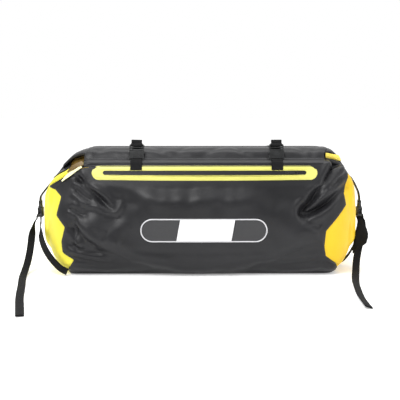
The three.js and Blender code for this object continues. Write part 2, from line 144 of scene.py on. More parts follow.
class Nodes:
    """Short names for making and joining shader nodes."""

    def __init__(self, name):
        self.material = bpy.data.materials.new(name)
        self.material.use_nodes = True
        self.tree = self.material.node_tree
        self.shader = self.tree.nodes["Principled BSDF"]

    def node(self, kind, **settings):
        made = self.tree.nodes.new(kind)
        for key, value in settings.items():
            setattr(made, key, value)
        return made

    def link(self, source, target):
        self.tree.links.new(source, target)

    def coordinates(self, which="Object"):
        return self.node("ShaderNodeTexCoord").outputs[which]

    def noise(self, scale, detail=3, coordinates=None, roughness=0.5):
        noise = self.node("ShaderNodeTexNoise")
        noise.inputs["Scale"].default_value = scale
        noise.inputs["Detail"].default_value = detail
        noise.inputs["Roughness"].default_value = roughness
        self.link(coordinates or self.coordinates(), noise.inputs["Vector"])
        return noise.outputs["Fac"]

    def ramp(self, source, low, high, stops=(0.35, 0.65)):
        ramp = self.node("ShaderNodeValToRGB")
        ramp.color_ramp.elements[0].position, ramp.color_ramp.elements[1].position = stops
        ramp.color_ramp.elements[0].color = (*low, 1)
        ramp.color_ramp.elements[1].color = (*high, 1)
        self.link(source, ramp.inputs["Fac"])
        return ramp.outputs["Color"]

    def span(self, source, low, high):
        span = self.node("ShaderNodeMapRange")
        span.inputs["To Min"].default_value = low
        span.inputs["To Max"].default_value = high
        self.link(source, span.inputs["Value"])
        return span.outputs["Result"]

    def mix(self, share, a, b):
        mix = self.node("ShaderNodeMix", data_type="RGBA")
        self.link(share, mix.inputs[0])
        for value, socket in ((a, mix.inputs[6]), (b, mix.inputs[7])):
            if isinstance(value, tuple):
                socket.default_value = (*value, 1)
            else:
                self.link(value, socket)
        return mix.outputs[2]

    def math(self, operation, a, b=None):
        made = self.node("ShaderNodeMath", operation=operation)
        for value, socket in zip((a, b), made.inputs):
            if value is None:
                continue
            if isinstance(value, (int, float)):
                socket.default_value = value
            else:
                self.link(value, socket)
        return made.outputs[0]

    def attribute(self, name):
        return self.node("ShaderNodeAttribute", attribute_name=name).outputs["Fac"]

    def bump(self, height, distance, strength=1.0, after=None):
        bump = self.node("ShaderNodeBump")
        bump.inputs["Distance"].default_value = distance
        bump.inputs["Strength"].default_value = strength
        self.link(height, bump.inputs["Height"])
        if after is not None:
            self.link(after, bump.inputs["Normal"])
        return bump.outputs["Normal"]

    def finish(self, colour, roughness, normal, **fixed):
        sockets = self.shader.inputs
        self.link(colour, sockets["Base Color"])
        self.link(roughness, sockets["Roughness"])
        self.link(normal, sockets["Normal"])
        for key, value in fixed.items():
            sockets[key.replace("_", " ")].default_value = value
        return self.material


def coated_fabric(name, dark, light, rim, rough=(0.4, 0.56), specular=0.5):
    """Tarpaulin: a fine pebbled coating over a faint weave, with a paler welded rim."""
    n = Nodes(name)
    place = n.coordinates()
    cloudy = n.noise(7, 4, place)
    tone = n.ramp(cloudy, dark, light)
    grain = n.noise(950, 2, place)
    speckle = n.mix(n.span(grain, 0.0, 0.35), tone, rim)
    colour = n.mix(n.attribute("rim"), speckle, rim)
    scuffs = n.noise(38, 5, place, 0.65)
    roughness = n.span(scuffs, *rough)
    weave = n.node("ShaderNodeTexVoronoi")
    weave.inputs["Scale"].default_value = 620
    n.link(place, weave.inputs["Vector"])
    soft = n.bump(n.noise(26, 3, place), 0.0012, 0.35)
    pebbles = n.bump(weave.outputs["Distance"], 0.00012, 0.55, soft)
    normal = n.bump(grain, 0.00008, 0.5, pebbles)
    return n.finish(colour, roughness, normal, Specular_IOR_Level=specular)


RIB = 2.1 * MM                    # webbing's ribs, its herringbone and its picks, crest to crest
HERRINGBONE = 8.4 * MM
PICK = 1.7 * MM


def webbing_material(name, dark=(0.0035, 0.0035, 0.004), light=(0.012, 0.012, 0.013)):
    """Woven strap: ribs across its width, a herringbone along it, from the strip's u and v in metres."""
    n = Nodes(name)
    uv = n.node("ShaderNodeSeparateXYZ")
    n.link(n.coordinates("UV"), uv.inputs[0])
    along, across = uv.outputs[0], uv.outputs[1]
    ribs = n.math("SINE", n.math("MULTIPLY", across, 2 * math.pi / RIB))
    zigzag = n.math("SINE", n.math("MULTIPLY", across, math.pi / HERRINGBONE))
    lean = n.math("MULTIPLY", n.math("ABSOLUTE", zigzag), 1.6 * MM)
    picks = n.math("SINE", n.math("MULTIPLY", n.math("ADD", along, lean), 2 * math.pi / PICK))
    weave = n.math("ADD", n.math("MULTIPLY", ribs, 0.5), n.math("MULTIPLY", picks, 0.5))
    fuzz = n.noise(420, 3)
    height = n.math("ADD", weave, n.math("MULTIPLY", fuzz, 0.8))
    colour = n.ramp(n.span(weave, 0.3, 0.7), dark, light, (0.2, 0.9))
    return n.finish(colour, n.span(fuzz, 0.72, 0.95), n.bump(height, 0.0003, 0.8), Specular_IOR_Level=0.22)


def moulded_plastic(name, base=(0.012, 0.0125, 0.013), rough=(0.28, 0.46)):
    n = Nodes(name)
    place = n.coordinates()
    cloudy = n.noise(60, 4, place)
    colour = n.ramp(cloudy, base, tuple(1.7 * c for c in base))
    texture = n.noise(1500, 2, place)
    return n.finish(colour, n.span(cloudy, *rough), n.bump(texture, 0.00006, 0.6))


def steel_material(name):
    n = Nodes(name)
    place = n.coordinates()
    stretch = n.node("ShaderNodeMapping")
    stretch.inputs["Scale"].default_value = (30, 900, 900)
    n.link(place, stretch.inputs["Vector"])
    lines = n.noise(1, 3, stretch.outputs["Vector"])
    colour = n.ramp(n.noise(80, 3, place), (0.42, 0.43, 0.45), (0.66, 0.67, 0.68))
    return n.finish(colour, n.span(lines, 0.2, 0.42), n.bump(lines, 0.00003, 0.5), Metallic=1.0)


def print_material(name, base):
    """Screen-printed ink that lies on the fabric's grain and is a little worn."""
    n = Nodes(name)
    place = n.coordinates()
    wear = n.noise(160, 5, place, 0.7)
    colour = n.mix(n.span(wear, 0.0, 0.22), base, tuple(0.72 * c for c in base))
    grain = n.noise(950, 2, place)
    return n.finish(colour, n.span(wear, 0.38, 0.6), n.bump(grain, 0.0001, 0.5))


def coil_material(name):
    n = Nodes(name)
    place = n.coordinates()
    fine = n.noise(900, 2, place)
    colour = n.ramp(fine, (0.002, 0.002, 0.0025), (0.009, 0.009, 0.010))
    return n.finish(colour, n.span(fine, 0.4, 0.65), n.bump(fine, 0.00006, 0.5), Specular_IOR_Level=0.18)


add_camera()
add_studio()

BLACK = coated_fabric(
    "black_tarpaulin", (0.0065, 0.0065, 0.0075), (0.013, 0.013, 0.0145), (0.03, 0.03, 0.033),
    (0.34, 0.5), 0.3,
)
YELLOW = coated_fabric(
    "yellow_tarpaulin", (0.68, 0.41, 0.002), (0.78, 0.49, 0.004), (0.98, 0.78, 0.06), (0.42, 0.6), 0.35,
)
LEMON = coated_fabric(
    "lemon_tarpaulin", (0.66, 0.56, 0.010), (0.76, 0.66, 0.018), (0.96, 0.92, 0.20), (0.42, 0.6), 0.4,
)
WELT_YELLOW = coated_fabric(
    "welt_tarpaulin", (0.56, 0.53, 0.07), (0.66, 0.63, 0.12), (0.9, 0.88, 0.4), (0.35, 0.5),
)
PIPING_GOLD = coated_fabric(
    "gold_lining", (0.75, 0.52, 0.03), (0.86, 0.66, 0.06), (0.95, 0.85, 0.3), (0.4, 0.55), 0.35,
)
PIPING = coated_fabric(
    "pale_piping", (0.92, 0.88, 0.42), (0.97, 0.94, 0.6), (1.0, 0.98, 0.8), (0.3, 0.45),
)
# Painted shade: the yellow end fabric in the shadow under the roll's left end, coloured dark brown. Its paler
# rim colour marks where the painted shade fades at the left front gusset's low edge.
PAINTED_SHADE_YELLOW = coated_fabric(
    "painted_shade_yellow_tarpaulin", (0.045, 0.020, 0.008), (0.10, 0.050, 0.012), (0.45, 0.30, 0.04), (0.35, 0.5),
)
WEBBING = webbing_material("webbing")
THREAD = moulded_plastic("thread", (0.05, 0.05, 0.055), (0.5, 0.7))
PLASTIC = moulded_plastic("buckle_plastic")
STEEL = steel_material("ring_steel")
COIL = coil_material("zip_coil")
INK_WHITE = print_material("white_ink", (0.78, 0.78, 0.79))
INK_GREY = print_material("grey_ink", (0.60, 0.60, 0.62))
INK_DARK = print_material("dark_ink", (0.028, 0.028, 0.03))


# ---------------------------------------------------------------- mesh helpers

def add_piece(name, vertices, faces, material, body, replaces=(), smooth=True, uv=None, rim=None):
    mesh = bpy.data.meshes.new(name)
    mesh.from_pydata([tuple(v) for v in vertices], [], [tuple(f) for f in faces])
    mesh.materials.append(material)
    if uv is not None:
        layer = mesh.uv_layers.new(name="UVMap")
        corners = np.array([loop.vertex_index for loop in mesh.loops])
        layer.data.foreach_set("uv", np.asarray(uv, np.float32)[corners].ravel())
    if rim is not None:
        layer = mesh.attributes.new("rim", "FLOAT", "POINT")
        layer.data.foreach_set("value", np.asarray(rim, np.float32).ravel())
    mesh.validate()
    piece = bpy.data.objects.new(name, mesh)
    bpy.context.scene.collection.objects.link(piece)
    if smooth:
        mesh.shade_smooth()
    face_outwards(mesh)
    if body:
        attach(piece, body)
    if replaces:
        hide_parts(*replaces)
    return piece


def face_outwards(mesh):
    shape = bmesh.new()
    shape.from_mesh(mesh)
    bmesh.ops.recalc_face_normals(shape, faces=shape.faces)
    shape.to_mesh(mesh)
    shape.free()


def apply_modifiers(piece):
    graph = bpy.context.evaluated_depsgraph_get()
    mesh = bpy.data.meshes.new_from_object(piece.evaluated_get(graph))
    piece.modifiers.clear()
    old = piece.data
    piece.data = mesh
    bpy.data.meshes.remove(old)


def thicken(piece, thickness, offset=-1.0):
    solid = piece.modifiers.new("thickness", "SOLIDIFY")
    solid.thickness = thickness
    solid.offset = offset
    apply_modifiers(piece)


def grid_faces(rows, columns, wrap=False):
    faces = []
    for i in range(rows - 1):
        for j in range(columns if wrap else columns - 1):
            k = (j + 1) % columns
            faces.append((i * columns + j, i * columns + k, (i + 1) * columns + k, (i + 1) * columns + j))
    return faces


def smooth_step(value, low, high):
    t = np.clip((np.asarray(value, float) - low) / (high - low), 0, 1)
    return t * t * (3 - 2 * t)


def spline(points, count):
    """Points at even steps along a Catmull-Rom curve."""
    p = np.asarray(points, float)
    p = np.vstack([2 * p[0] - p[1], p, 2 * p[-1] - p[-2]])
    fine = []
    for i in range(1, len(p) - 2):
        t = np.linspace(0, 1, 16, endpoint=False)[:, None]
        a, b, c, d = p[i - 1], p[i], p[i + 1], p[i + 2]
        bend = (2 * a - 5 * b + 4 * c - d) * t ** 2 + (3 * b - a - 3 * c + d) * t ** 3
        fine.append(0.5 * (2 * b + (c - a) * t + bend))
    fine = np.vstack([*fine, p[-2][None]])
    return even_steps(fine, count)


def even_steps(line, count):
    reach = np.concatenate([[0], np.cumsum(np.linalg.norm(np.diff(line, axis=0), axis=1))])
    at = np.linspace(0, reach[-1], count)
    return np.stack([np.interp(at, reach, line[:, k]) for k in range(line.shape[1])], 1)


# ---------------------------------------------------------------- solid parts made from outlines

class Parts:
    """Collects several closed shapes into one piece."""

    def __init__(self, place=None):
        self.place = place or Matrix()
        self.vertices = []
        self.faces = []

    def add(self, vertices, faces, matrix=None):
        start = len(self.vertices)
        matrix = self.place @ (matrix or Matrix())
        self.vertices += [matrix @ Vector(v) for v in vertices]
        self.faces += [tuple(start + i for i in face) for face in faces]

    def plate(self, outlines, thickness, edge, matrix=None):
        self.add(*plate(outlines, thickness, edge), matrix)

    def tube(self, line, radius, **settings):
        self.add(*tube(line, radius, **settings))

    def piece(self, name, material, body, slot, replaces=()):
        return add_piece(name, self.vertices, self.faces, material, body, replaces, smooth=False)


def plate(outlines, thickness, edge):
    """A flat plate with rounded edges, from an outline and its holes in x and y, centred on z = 0."""
    curve = bpy.data.curves.new("plate", "CURVE")
    curve.dimensions = "2D"
    curve.fill_mode = "BOTH"
    curve.extrude = thickness / 2 - edge
    curve.bevel_depth = edge
    curve.bevel_resolution = 2
    curve.offset = -edge
    for outline in outlines:
        spline_data = curve.splines.new("POLY")
        spline_data.points.add(len(outline) - 1)
        for point, (x, y) in zip(spline_data.points, outline):
            point.co = (x, y, 0, 1)
        spline_data.use_cyclic_u = True
    holder = bpy.data.objects.new("plate", curve)
    bpy.context.scene.collection.objects.link(holder)
    mesh = bpy.data.meshes.new_from_object(holder)
    clean = bmesh.new()
    clean.from_mesh(mesh)
    bmesh.ops.remove_doubles(clean, verts=clean.verts, dist=2e-6)
    vertices = [tuple(v.co) for v in clean.verts]
    faces = [tuple(v.index for v in f.verts) for f in clean.faces]
    clean.free()
    bpy.data.objects.remove(holder)
    bpy.data.curves.remove(curve)
    bpy.data.meshes.remove(mesh)
    return vertices, faces


def tube(line, radius, closed=False, sides=12, flat=None):
    """A round bar along a line that lies in one plane. A straight line needs flat, any direction off it."""
    line = np.asarray(line, float)
    if closed:
        tangent = np.roll(line, -1, 0) - np.roll(line, 1, 0)
    else:
        tangent = np.gradient(line, axis=0)
    tangent /= np.linalg.norm(tangent, axis=1, keepdims=True)
    if flat is None:
        flat = np.linalg.svd(line - line.mean(0))[2][2]
    side = np.cross(tangent, flat)
    side /= np.linalg.norm(side, axis=1, keepdims=True)
    other = np.cross(tangent, side)
    vertices = []
    for point, a, b in zip(line, side, other):
        for turn in np.linspace(0, 2 * math.pi, sides, endpoint=False):
            vertices.append(point + radius * (a * math.cos(turn) + b * math.sin(turn)))
    faces = grid_faces(len(line), sides, wrap=True)
    last = (len(line) - 1) * sides
    if closed:
        faces += [(last + k, last + (k + 1) % sides, (k + 1) % sides, k) for k in range(sides)]
    else:
        faces += [tuple(range(sides)), tuple(last + k for k in reversed(range(sides)))]
    return vertices, faces


def rounded(points, radius, steps=5):
    """A polygon in millimetres with its corners rounded, in metres."""
    points = [Vector(p) * MM for p in points]
    radius *= MM
    outline = []
    for i, corner in enumerate(points):
        before, after = points[i - 1], points[(i + 1) % len(points)]
        cut_in = min(radius, (before - corner).length * 0.48)
        cut_out = min(radius, (after - corner).length * 0.48)
        start = corner + (before - corner).normalized() * cut_in
        end = corner + (after - corner).normalized() * cut_out
        for t in np.linspace(0, 1, steps):
            outline.append(tuple(start * (1 - t) ** 2 + corner * 2 * t * (1 - t) + end * t * t))
    return outline


def rectangle(x0, x1, y0, y1, radius=0.6):
    return rounded([(x0, y0), (x1, y0), (x1, y1), (x0, y1)], radius)


def stadium(length, height, count=20):
    """In metres, centred on the origin."""
    outline = []
    radius = height / 2
    straight = length / 2 - radius
    for side in (1, -1):
        for turn in np.linspace(-math.pi / 2, math.pi / 2, count):
            outline.append((side * (straight + radius * math.cos(turn)), side * radius * math.sin(turn)))
        for x in np.linspace(straight, -straight, 42)[1:-1]:
            outline.append((side * x, side * radius))
    return outline


UPRIGHT = Matrix.Rotation(math.pi / 2, 4, "X")      # turns a plate's own y up, with its thickness along y


def shifted(x=0, y=0, z=0):
    return Matrix.Translation((x * MM, y * MM, z * MM))


# ---------------------------------------------------------------- webbing

WEB_WIDE = 25 * MM
WEB_NARROW = 16 * MM
WEB_THICK = 1.6 * MM
END_Y = -42 * MM
END_X = 358 * MM
END_BUCKLE_Z = 138 * MM


def add_strip(name, line, across, width, thickness, body, replaces=(), material=None,
              square=True):
    """A strap along a line. Its width lies along across, squared to the line, and may change along it."""
    line = np.asarray(line, float)
    tangent = np.gradient(line, axis=0)
    tangent /= np.linalg.norm(tangent, axis=1, keepdims=True)
    across = np.array(np.broadcast_to(np.asarray(across, float), line.shape))
    if square:
        across -= tangent * (across * tangent).sum(1, keepdims=True)
    across /= np.linalg.norm(across, axis=1, keepdims=True)
    face = np.cross(tangent, across)
    width = np.broadcast_to(width, len(line))
    thickness = np.broadcast_to(thickness, len(line))
    share = np.linspace(-1, 1, 9)
    profile = 0.5 * (1 - 0.5 * np.abs(share) ** 6)
    around = list(zip(share, profile)) + [(s, -h) for s, h in zip(share[::-1], profile[::-1])]
    run = np.concatenate([[0], np.cumsum(np.linalg.norm(np.diff(line, axis=0), axis=1))])
    vertices, uv = [], []
    for point, a, f, w, t, distance in zip(line, across, face, width, thickness, run):
        for s, h in around:
            vertices.append(point + a * s * w / 2 + f * h * t)
            uv.append((distance, s * w / 2))
    faces = grid_faces(len(line), len(around), wrap=True)
    last = (len(line) - 1) * len(around)
    faces.append(tuple(range(len(around))))
    faces.append(tuple(last + k for k in reversed(range(len(around)))))
    return add_piece(name, vertices, faces, material or WEBBING, body, replaces, uv=uv)


def twist_to_level(line, start_across, done_at=0.14):
    """Directions for a strap's width: start_across at first, and level once it lies on the floor."""
    share = np.linspace(0, 1, len(line))[:, None]
    ahead = line[np.minimum(np.arange(len(line)) + len(line) // 5, len(line) - 1)] - line
    ahead[-1] = line[-1] - line[-2]
    level = np.cross(ahead, (0, 0, 1.0))
    level /= np.maximum(np.linalg.norm(level, axis=1, keepdims=True), 1e-9)
    start = np.asarray(start_across, float)
    w = smooth_step(share, 0, done_at)
    return start * (1 - w) + level * w


# The free ends of the lower straps, in millimetres, the same as in the CAD.
TAIL_ROUTES = {
    "left": [(-366, -47, 113), (-371, -53, 102), (-375, -62, 78), (-377, -77, 48), (-379, -98, 24),
             (-380, -128, 9), (-377, -165, 4), (-362, -252, 3.4), (-347, -341, 3.4), (-332, -414, 3.4),
             (-319, -476, 3.4)],
    "right": [(366, -47, 113), (368, -54, 102), (362, -63, 78), (353, -74, 50), (345, -92, 25),
              (338, -122, 9), (330, -160, 4.6), (319, -220, 4), (311, -285, 4), (305, -345, 4),
              (303, -423, 4)],
}
TAIL_TILT = {"left": 0.0, "right": 0.34}        # how far a lying tail leans up on its edge


def add_tail(side_name, side):
    route = np.array(TAIL_ROUTES[side_name], float) * MM
    line = spline(route, 150)
    across = twist_to_level(line, (0, side, 0))
    across[:, 2] += TAIL_TILT[side_name] * smooth_step(np.linspace(0, 1, 150), 0.3, 0.6)
    hem = 1 + 0.9 * smooth_step(np.linspace(0, 1, 150), 0.955, 0.962)
    tail = add_strip(f"{side_name}_tail_strap", line, across, WEB_NARROW, WEB_THICK * hem, "trunk",
                     (f"{side_name}_tail",))
    path = spline(route, 36)
    bar = [(357, -42, 121), (361, -42, 123), (364.5, -43.5, 121), (365.8, -45.6, 117), (366, -47, 113)]
    loop = spline(np.array(bar) * (side, 1, 1) * MM, 24)
    add_strip(f"{side_name}_tail_bar_loop", loop, (0, side, 0), WEB_NARROW, WEB_THICK, "trunk")


THREAD_RADIUS = 0.3 * MM
STITCH = 2.6 * MM


def add_stitches(name, centre, along, across, length, width, body):
    """A bar-tacked box with a cross in it: thread lying on a strap."""
    along, across = Vector(along).normalized(), Vector(across).normalized()
    out = along.cross(across).normalized()
    parts = Parts()
    centre = Vector(centre)
    a, b = length / 2, width / 2
    corners = [(-a, -b), (a, -b), (a, b), (-a, b)]
    runs = list(zip(corners, corners[1:] + corners[:1]))
    runs += [(corners[0], corners[2]), (corners[1], corners[3])]
    for (x0, y0), (x1, y1) in runs:
        count = max(3, int(math.hypot(x1 - x0, y1 - y0) / STITCH))
        for k in range(count):
            line = []
            for part, rise in ((0.12, 0), (0.5, THREAD_RADIUS), (0.88, 0)):
                t = (k + part) / count
                spot = along * (x0 + (x1 - x0) * t) + across * (y0 + (y1 - y0) * t)
                line.append(tuple(centre + spot + out * rise))
            parts.tube(line, THREAD_RADIUS, sides=5, flat=(0.3, 0.2, 0.93))
    parts.piece(name, THREAD, body, "webbing")


for side_name, side in SIDES:
    add_tail(side_name, side)


# ---------------------------------------------------------------- the trunk's skin

BODY_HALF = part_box("front_panel")[1].x                        # from the middle to where the domed ends start
END_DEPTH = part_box("right_end_panel")[1].x - BODY_HALF
HEART_Z = 0.115                   # the height that the section shrinks towards at the ends
END_POWER = 2.6                   # how square the domed ends are: 2 is an ellipse
SKIN = 1.4 * MM
LOWEST = 0.4 * MM                 # the skin's clearance above the floor
ROW_STEP = 5.2 * MM               # about how far apart the skin's rows are
MOUTH = ((-0.25, -0.074, 0.2), (0.25, 0.03, 0.26))           # the opening under the roll, low and high corner
ZIP_TILT = math.radians(22)
ZIP_UP = Vector((0, math.sin(ZIP_TILT), math.cos(ZIP_TILT)))
ZIP_OUT = Vector((0, -math.cos(ZIP_TILT), math.sin(ZIP_TILT)))
ZIP_MIDDLE = middle("pocket_welt") - ZIP_OUT * 1.1 * MM

# The section in millimetres, from the middle of the base, up the front and down the back.
SECTION = [
    (0, 0), (-60, 0), (-100, 0.3), (-119, 1.8), (-134, 8), (-145.6, 25), (-150.4, 56), (-150.8, 98),
    (-150.2, 130), (-145, 158), (-136.4, 181), (-127.2, 202.5), (-119.7, 221), (-112.2, 239.2), (-104, 243.6),
    (-94, 244.6), (-84, 241), (-74, 234), (-40, 231), (0, 231), (30, 233), (58, 237), (80, 237.6), (100, 231.6),
    (115.6, 221), (128, 206), (140, 184), (147.6, 158), (150.6, 128), (150.8, 98), (148.4, 62), (140.6, 30),
    (124, 9), (98, 0.6), (60, 0), (0, 0),
]
ROWS = 200                        # along the bag, pole to pole
COLUMNS = 168                     # round the section


def section_line():
    return spline(np.array(SECTION) * MM, COLUMNS + 1)[:-1]


def end_profile():
    """x and the section's scale at even steps from the left pole to the right pole."""
    turn = np.linspace(0, math.pi / 2, 400)
    dome = np.stack([
        BODY_HALF + END_DEPTH * np.sin(turn) ** (2 / END_POWER),
        np.cos(turn) ** (2 / END_POWER),
    ], 1)
    line = np.vstack([[0, 1], dome])
    true = line * [1, 0.135]
    half = even_steps(true, ROWS // 2 + 1) / [1, 0.135]
    return np.vstack([half[::-1] * [-1, 1], half[1:]])


def base_skin():
    outline = section_line()
    profile = end_profile()
    skin = np.zeros((len(profile), COLUMNS, 3))
    for i, (x, scale) in enumerate(profile):
        skin[i, :, 0] = x
        skin[i, :, 1] = outline[:, 0] * scale
        skin[i, :, 2] = HEART_Z + (outline[:, 1] - HEART_Z) * scale
    return skin


def shoulder_drop(x):
    """How much lower the shoulders are near the ends, where the roll lets the fabric drop."""
    return smooth_step(-x, 0.235, 0.315) * 0.020 + smooth_step(x, 0.262, 0.325) * 0.007


def sag(skin):
    """The slack of the fabric at the corners."""
    x, z = skin[..., 0], skin[..., 2]
    skin[..., 2] -= smooth_step(z, 0.135, 0.225) * shoulder_drop(x)
    low = 1 - smooth_step(z, 0.01, 0.09)
    skin[..., 0] *= 1 - 0.018 * low * smooth_step(np.abs(x), 0.28, 0.34)
    waist = smooth_step(z, 0.02, 0.09) * (1 - smooth_step(z, 0.15, 0.2))
    skin[..., 1] *= 1 + 0.012 * np.sin(x * 9 + 1.2) * waist
    return skin


def normals_of(skin):
    along = np.gradient(skin, axis=0)
    around = (np.roll(skin, -1, axis=1) - np.roll(skin, 1, axis=1)) / 2
    normal = np.cross(along, around)
    length = np.linalg.norm(normal, axis=2, keepdims=True)
    normal = normal / np.maximum(length, 1e-12)
    outward = skin - np.array([0, 0, HEART_Z])
    outward[..., 0] = np.sign(outward[..., 0]) * np.maximum(np.abs(outward[..., 0]) - BODY_HALF, 0)
    if (normal * outward).sum() < 0:
        normal = -normal
    return normal


def line_distance(x, z, path):
    """Distance to a line of (x, z) points and how far along it the nearest point is, from 0 to 1."""
    path = np.asarray(path, float) * MM
    lengths = np.linalg.norm(np.diff(path, axis=0), axis=1)
    total = lengths.sum()
    best = np.full(x.shape, 1e9)
    share = np.zeros(x.shape)
    side = np.zeros(x.shape)
    run = 0
    for a, b, length in zip(path[:-1], path[1:], lengths):
        d = (b - a) / length
        t = np.clip((x - a[0]) * d[0] + (z - a[1]) * d[1], 0, length)
        dx, dz = x - a[0] - d[0] * t, z - a[1] - d[1] * t
        distance = np.hypot(dx, dz)
        nearer = distance < best
        best = np.where(nearer, distance, best)
        share = np.where(nearer, (run + t) / total, share)
        side = np.where(nearer, np.sign(d[0] * dz - d[1] * dx), side)
        run += length
    return best, share, side


# Folds of the front, as (points in millimetres, width, depth, lip on the left side, lip on the right side).
# A positive depth is a valley; a negative one is a ridge. It fades towards the end of its line.
FRONT_FOLDS = [
    # The deep pinch below the right end of the roll.
    ([(304, 254), (282, 222), (256, 188), (234, 160), (219, 145), (217, 138), (226, 136), (242, 142),
      (262, 154), (286, 171), (316, 192)], 8, 18, 7, 3),
    ([(290, 228), (270, 200), (248, 172), (236, 158)], 9, -6, 0, 0),
    ([(305, 214), (284, 196), (262, 178), (244, 166)], 5, 5, 2, 2),
    # The fan of folds below the left end of the roll.
    ([(-268, 216), (-240, 190), (-214, 168), (-190, 147)], 7, 9, 4, 4),
    ([(-262, 200), (-228, 188), (-202, 170), (-182, 150)], 4.5, -4.5, 0, 0),
    ([(-270, 190), (-246, 172), (-226, 160)], 6, 6, 3, 3),
    ([(-262, 162), (-226, 149), (-200, 139), (-178, 138), (-170, 150), (-168, 170)], 5.5, -4.5, 0, 0),
    ([(-280, 150), (-262, 140), (-246, 132)], 5, 4, 2, 2),
    # Slack near the lower left corner.
    ([(-276, 114), (-256, 92), (-238, 72), (-214, 58)], 8, 6, 3, 3),
    ([(-284, 74), (-262, 62), (-236, 55), (-196, 50)], 6, 5, 2, 3),
    ([(-286, 44), (-258, 36), (-220, 30), (-170, 27)], 7, 4, 2, 2),
    ([(-205, 88), (-190, 76), (-168, 70)], 14, -4, 0, 0),
    # Slack near the lower right corner.
    ([(262, 40), (236, 30), (200, 26), (150, 24)], 7, 4, 2, 2),
    ([(258, 108), (236, 116), (214, 122)], 8, 4, 2, 2),
    ([(300, 20), (280, 26), (262, 34)], 5, 5, 2, 2),
    # Long soft waves across the front.
    ([(-150, 190), (-80, 186), (0, 190), (90, 186), (180, 182)], 12, 1.6, 0.8, 0.8),
    ([(-160, 60), (-60, 52), (60, 50), (170, 56)], 12, 2.0, 1, 1),
    ([(-70, 34), (20, 30), (110, 33)], 9, 1.8, 0.8, 0.8),
]
BACK_FOLDS = [
    ([(288, 236), (262, 204), (238, 176), (214, 160)], 9, 12, 5, 5),
    ([(-284, 232), (-256, 206), (-232, 178), (-204, 164)], 9, 12, 5, 5),
    ([(300, 190), (270, 176), (236, 166)], 7, 6, 3, 3),
    ([(-302, 186), (-268, 172), (-232, 160)], 7, 6, 3, 3),
    ([(-284, 96), (-250, 76), (-210, 62)], 9, 6, 3, 3),
    ([(286, 100), (252, 80), (206, 66)], 9, 6, 3, 3),
    ([(-180, 120), (-60, 110), (60, 116), (190, 108)], 14, 2.4, 1, 1),
    ([(-150, 70), (0, 60), (150, 68)], 12, 2.2, 1, 1),
]


def fold_depth(skin, folds, side):
    """How far the fabric stands out or in, in metres, for the folds of one side."""
    x, y, z = skin[..., 0], skin[..., 1], skin[..., 2]
    total = np.zeros(x.shape)
    for path, width, depth, lip_left, lip_right in folds:
        distance, share, hand = line_distance(x, z, path)
        fade = smooth_step(share, -0.02, 0.12) * (1 - 0.75 * smooth_step(share, 0.7, 1.0))
        w = width * MM
        valley = np.exp(-(distance / w) ** 2)
        lips = np.exp(-((distance - 1.9 * w) / w) ** 2)
        lip = np.where(hand > 0, lip_left, lip_right)
        total += fade * (-depth * valley + lip * lips) * MM
    return total * smooth_step(side * y, 0.03, 0.07)


def zip_hold(skin):
    """1 away from the pocket's flat facet and 0 on it, so that the welt lies flat."""
    x, y, z = skin[..., 0], skin[..., 1], skin[..., 2]
    near_x = 1 - smooth_step(np.abs(x - ZIP_MIDDLE.x), 0.245, 0.268)
    near_z = smooth_step(z, 0.189, 0.199) * (1 - smooth_step(z, 0.242, 0.247))
    return 1 - near_x * near_z * (y < 0)


def badge_hold(skin):
    x, y, z = skin[..., 0], skin[..., 1], skin[..., 2]
    lo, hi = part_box("badge")
    near = (1 - smooth_step(np.abs(x - (lo.x + hi.x) / 2), 0.135, 0.17))
    near = near * (1 - smooth_step(np.abs(z - (lo.z + hi.z) / 2), 0.028, 0.05)) * (y < 0)
    return 1 - 0.8 * near


CLOTH_STEPS = 18
CLOTH_CAP = 7.5 * MM
END_BULGE = 0.4 * MM               # the most that an end panel may swell towards its straps


def cloth_grip(ring):
    """How firmly each point is held: at the base, the mouth's rim, the zip, the badge and the poles."""
    x, y, z = ring.reshape(-1, 3).T
    grip = 1 - zip_hold(ring).ravel()
    grip = np.maximum(grip, (z < 0.0035) * 1.0)
    grip = np.maximum(grip, (z > 0.228) * (np.abs(x) < 0.27))
    grip = np.maximum(grip, 0.7 * (1 - badge_hold(ring).ravel()))
    return np.maximum(grip, 0.5 * (np.abs(x) > 0.342))


def run_cloth(piece, grip):
    """Runs the piece as slightly oversize cloth under pressure and gives back where its points went."""
    hold = piece.vertex_groups.new(name="hold")
    for level in (0.25, 0.5, 0.75, 1.0):
        chosen = np.nonzero(np.abs(grip - level) <= 0.125)[0].tolist()
        if chosen:
            hold.add(chosen, level, "REPLACE")
    cloth = piece.modifiers.new("cloth", "CLOTH")
    settings = cloth.settings
    settings.quality = 5
    settings.mass = 0.25
    settings.tension_stiffness = 18
    settings.compression_stiffness = 18
    settings.shear_stiffness = 6
    settings.bending_stiffness = 1.4
    settings.shrink_min = -0.024
    settings.use_pressure = True
    settings.uniform_pressure_force = 2.0
    settings.effector_weights.gravity = 0
    settings.vertex_group_mass = "hold"
    cloth.collision_settings.use_collision = False
    cloth.collision_settings.use_self_collision = False
    scene = bpy.context.scene
    scene.frame_start, scene.frame_end = 1, CLOTH_STEPS
    cloth.point_cache.frame_start, cloth.point_cache.frame_end = 1, CLOTH_STEPS
    for step in range(1, CLOTH_STEPS + 1):
        scene.frame_set(step)
    graph = bpy.context.evaluated_depsgraph_get()
    moved = piece.evaluated_get(graph).to_mesh()
    place = np.zeros(len(grip) * 3, np.float32)
    moved.vertices.foreach_get("co", place)
    scene.frame_set(1)
    return place


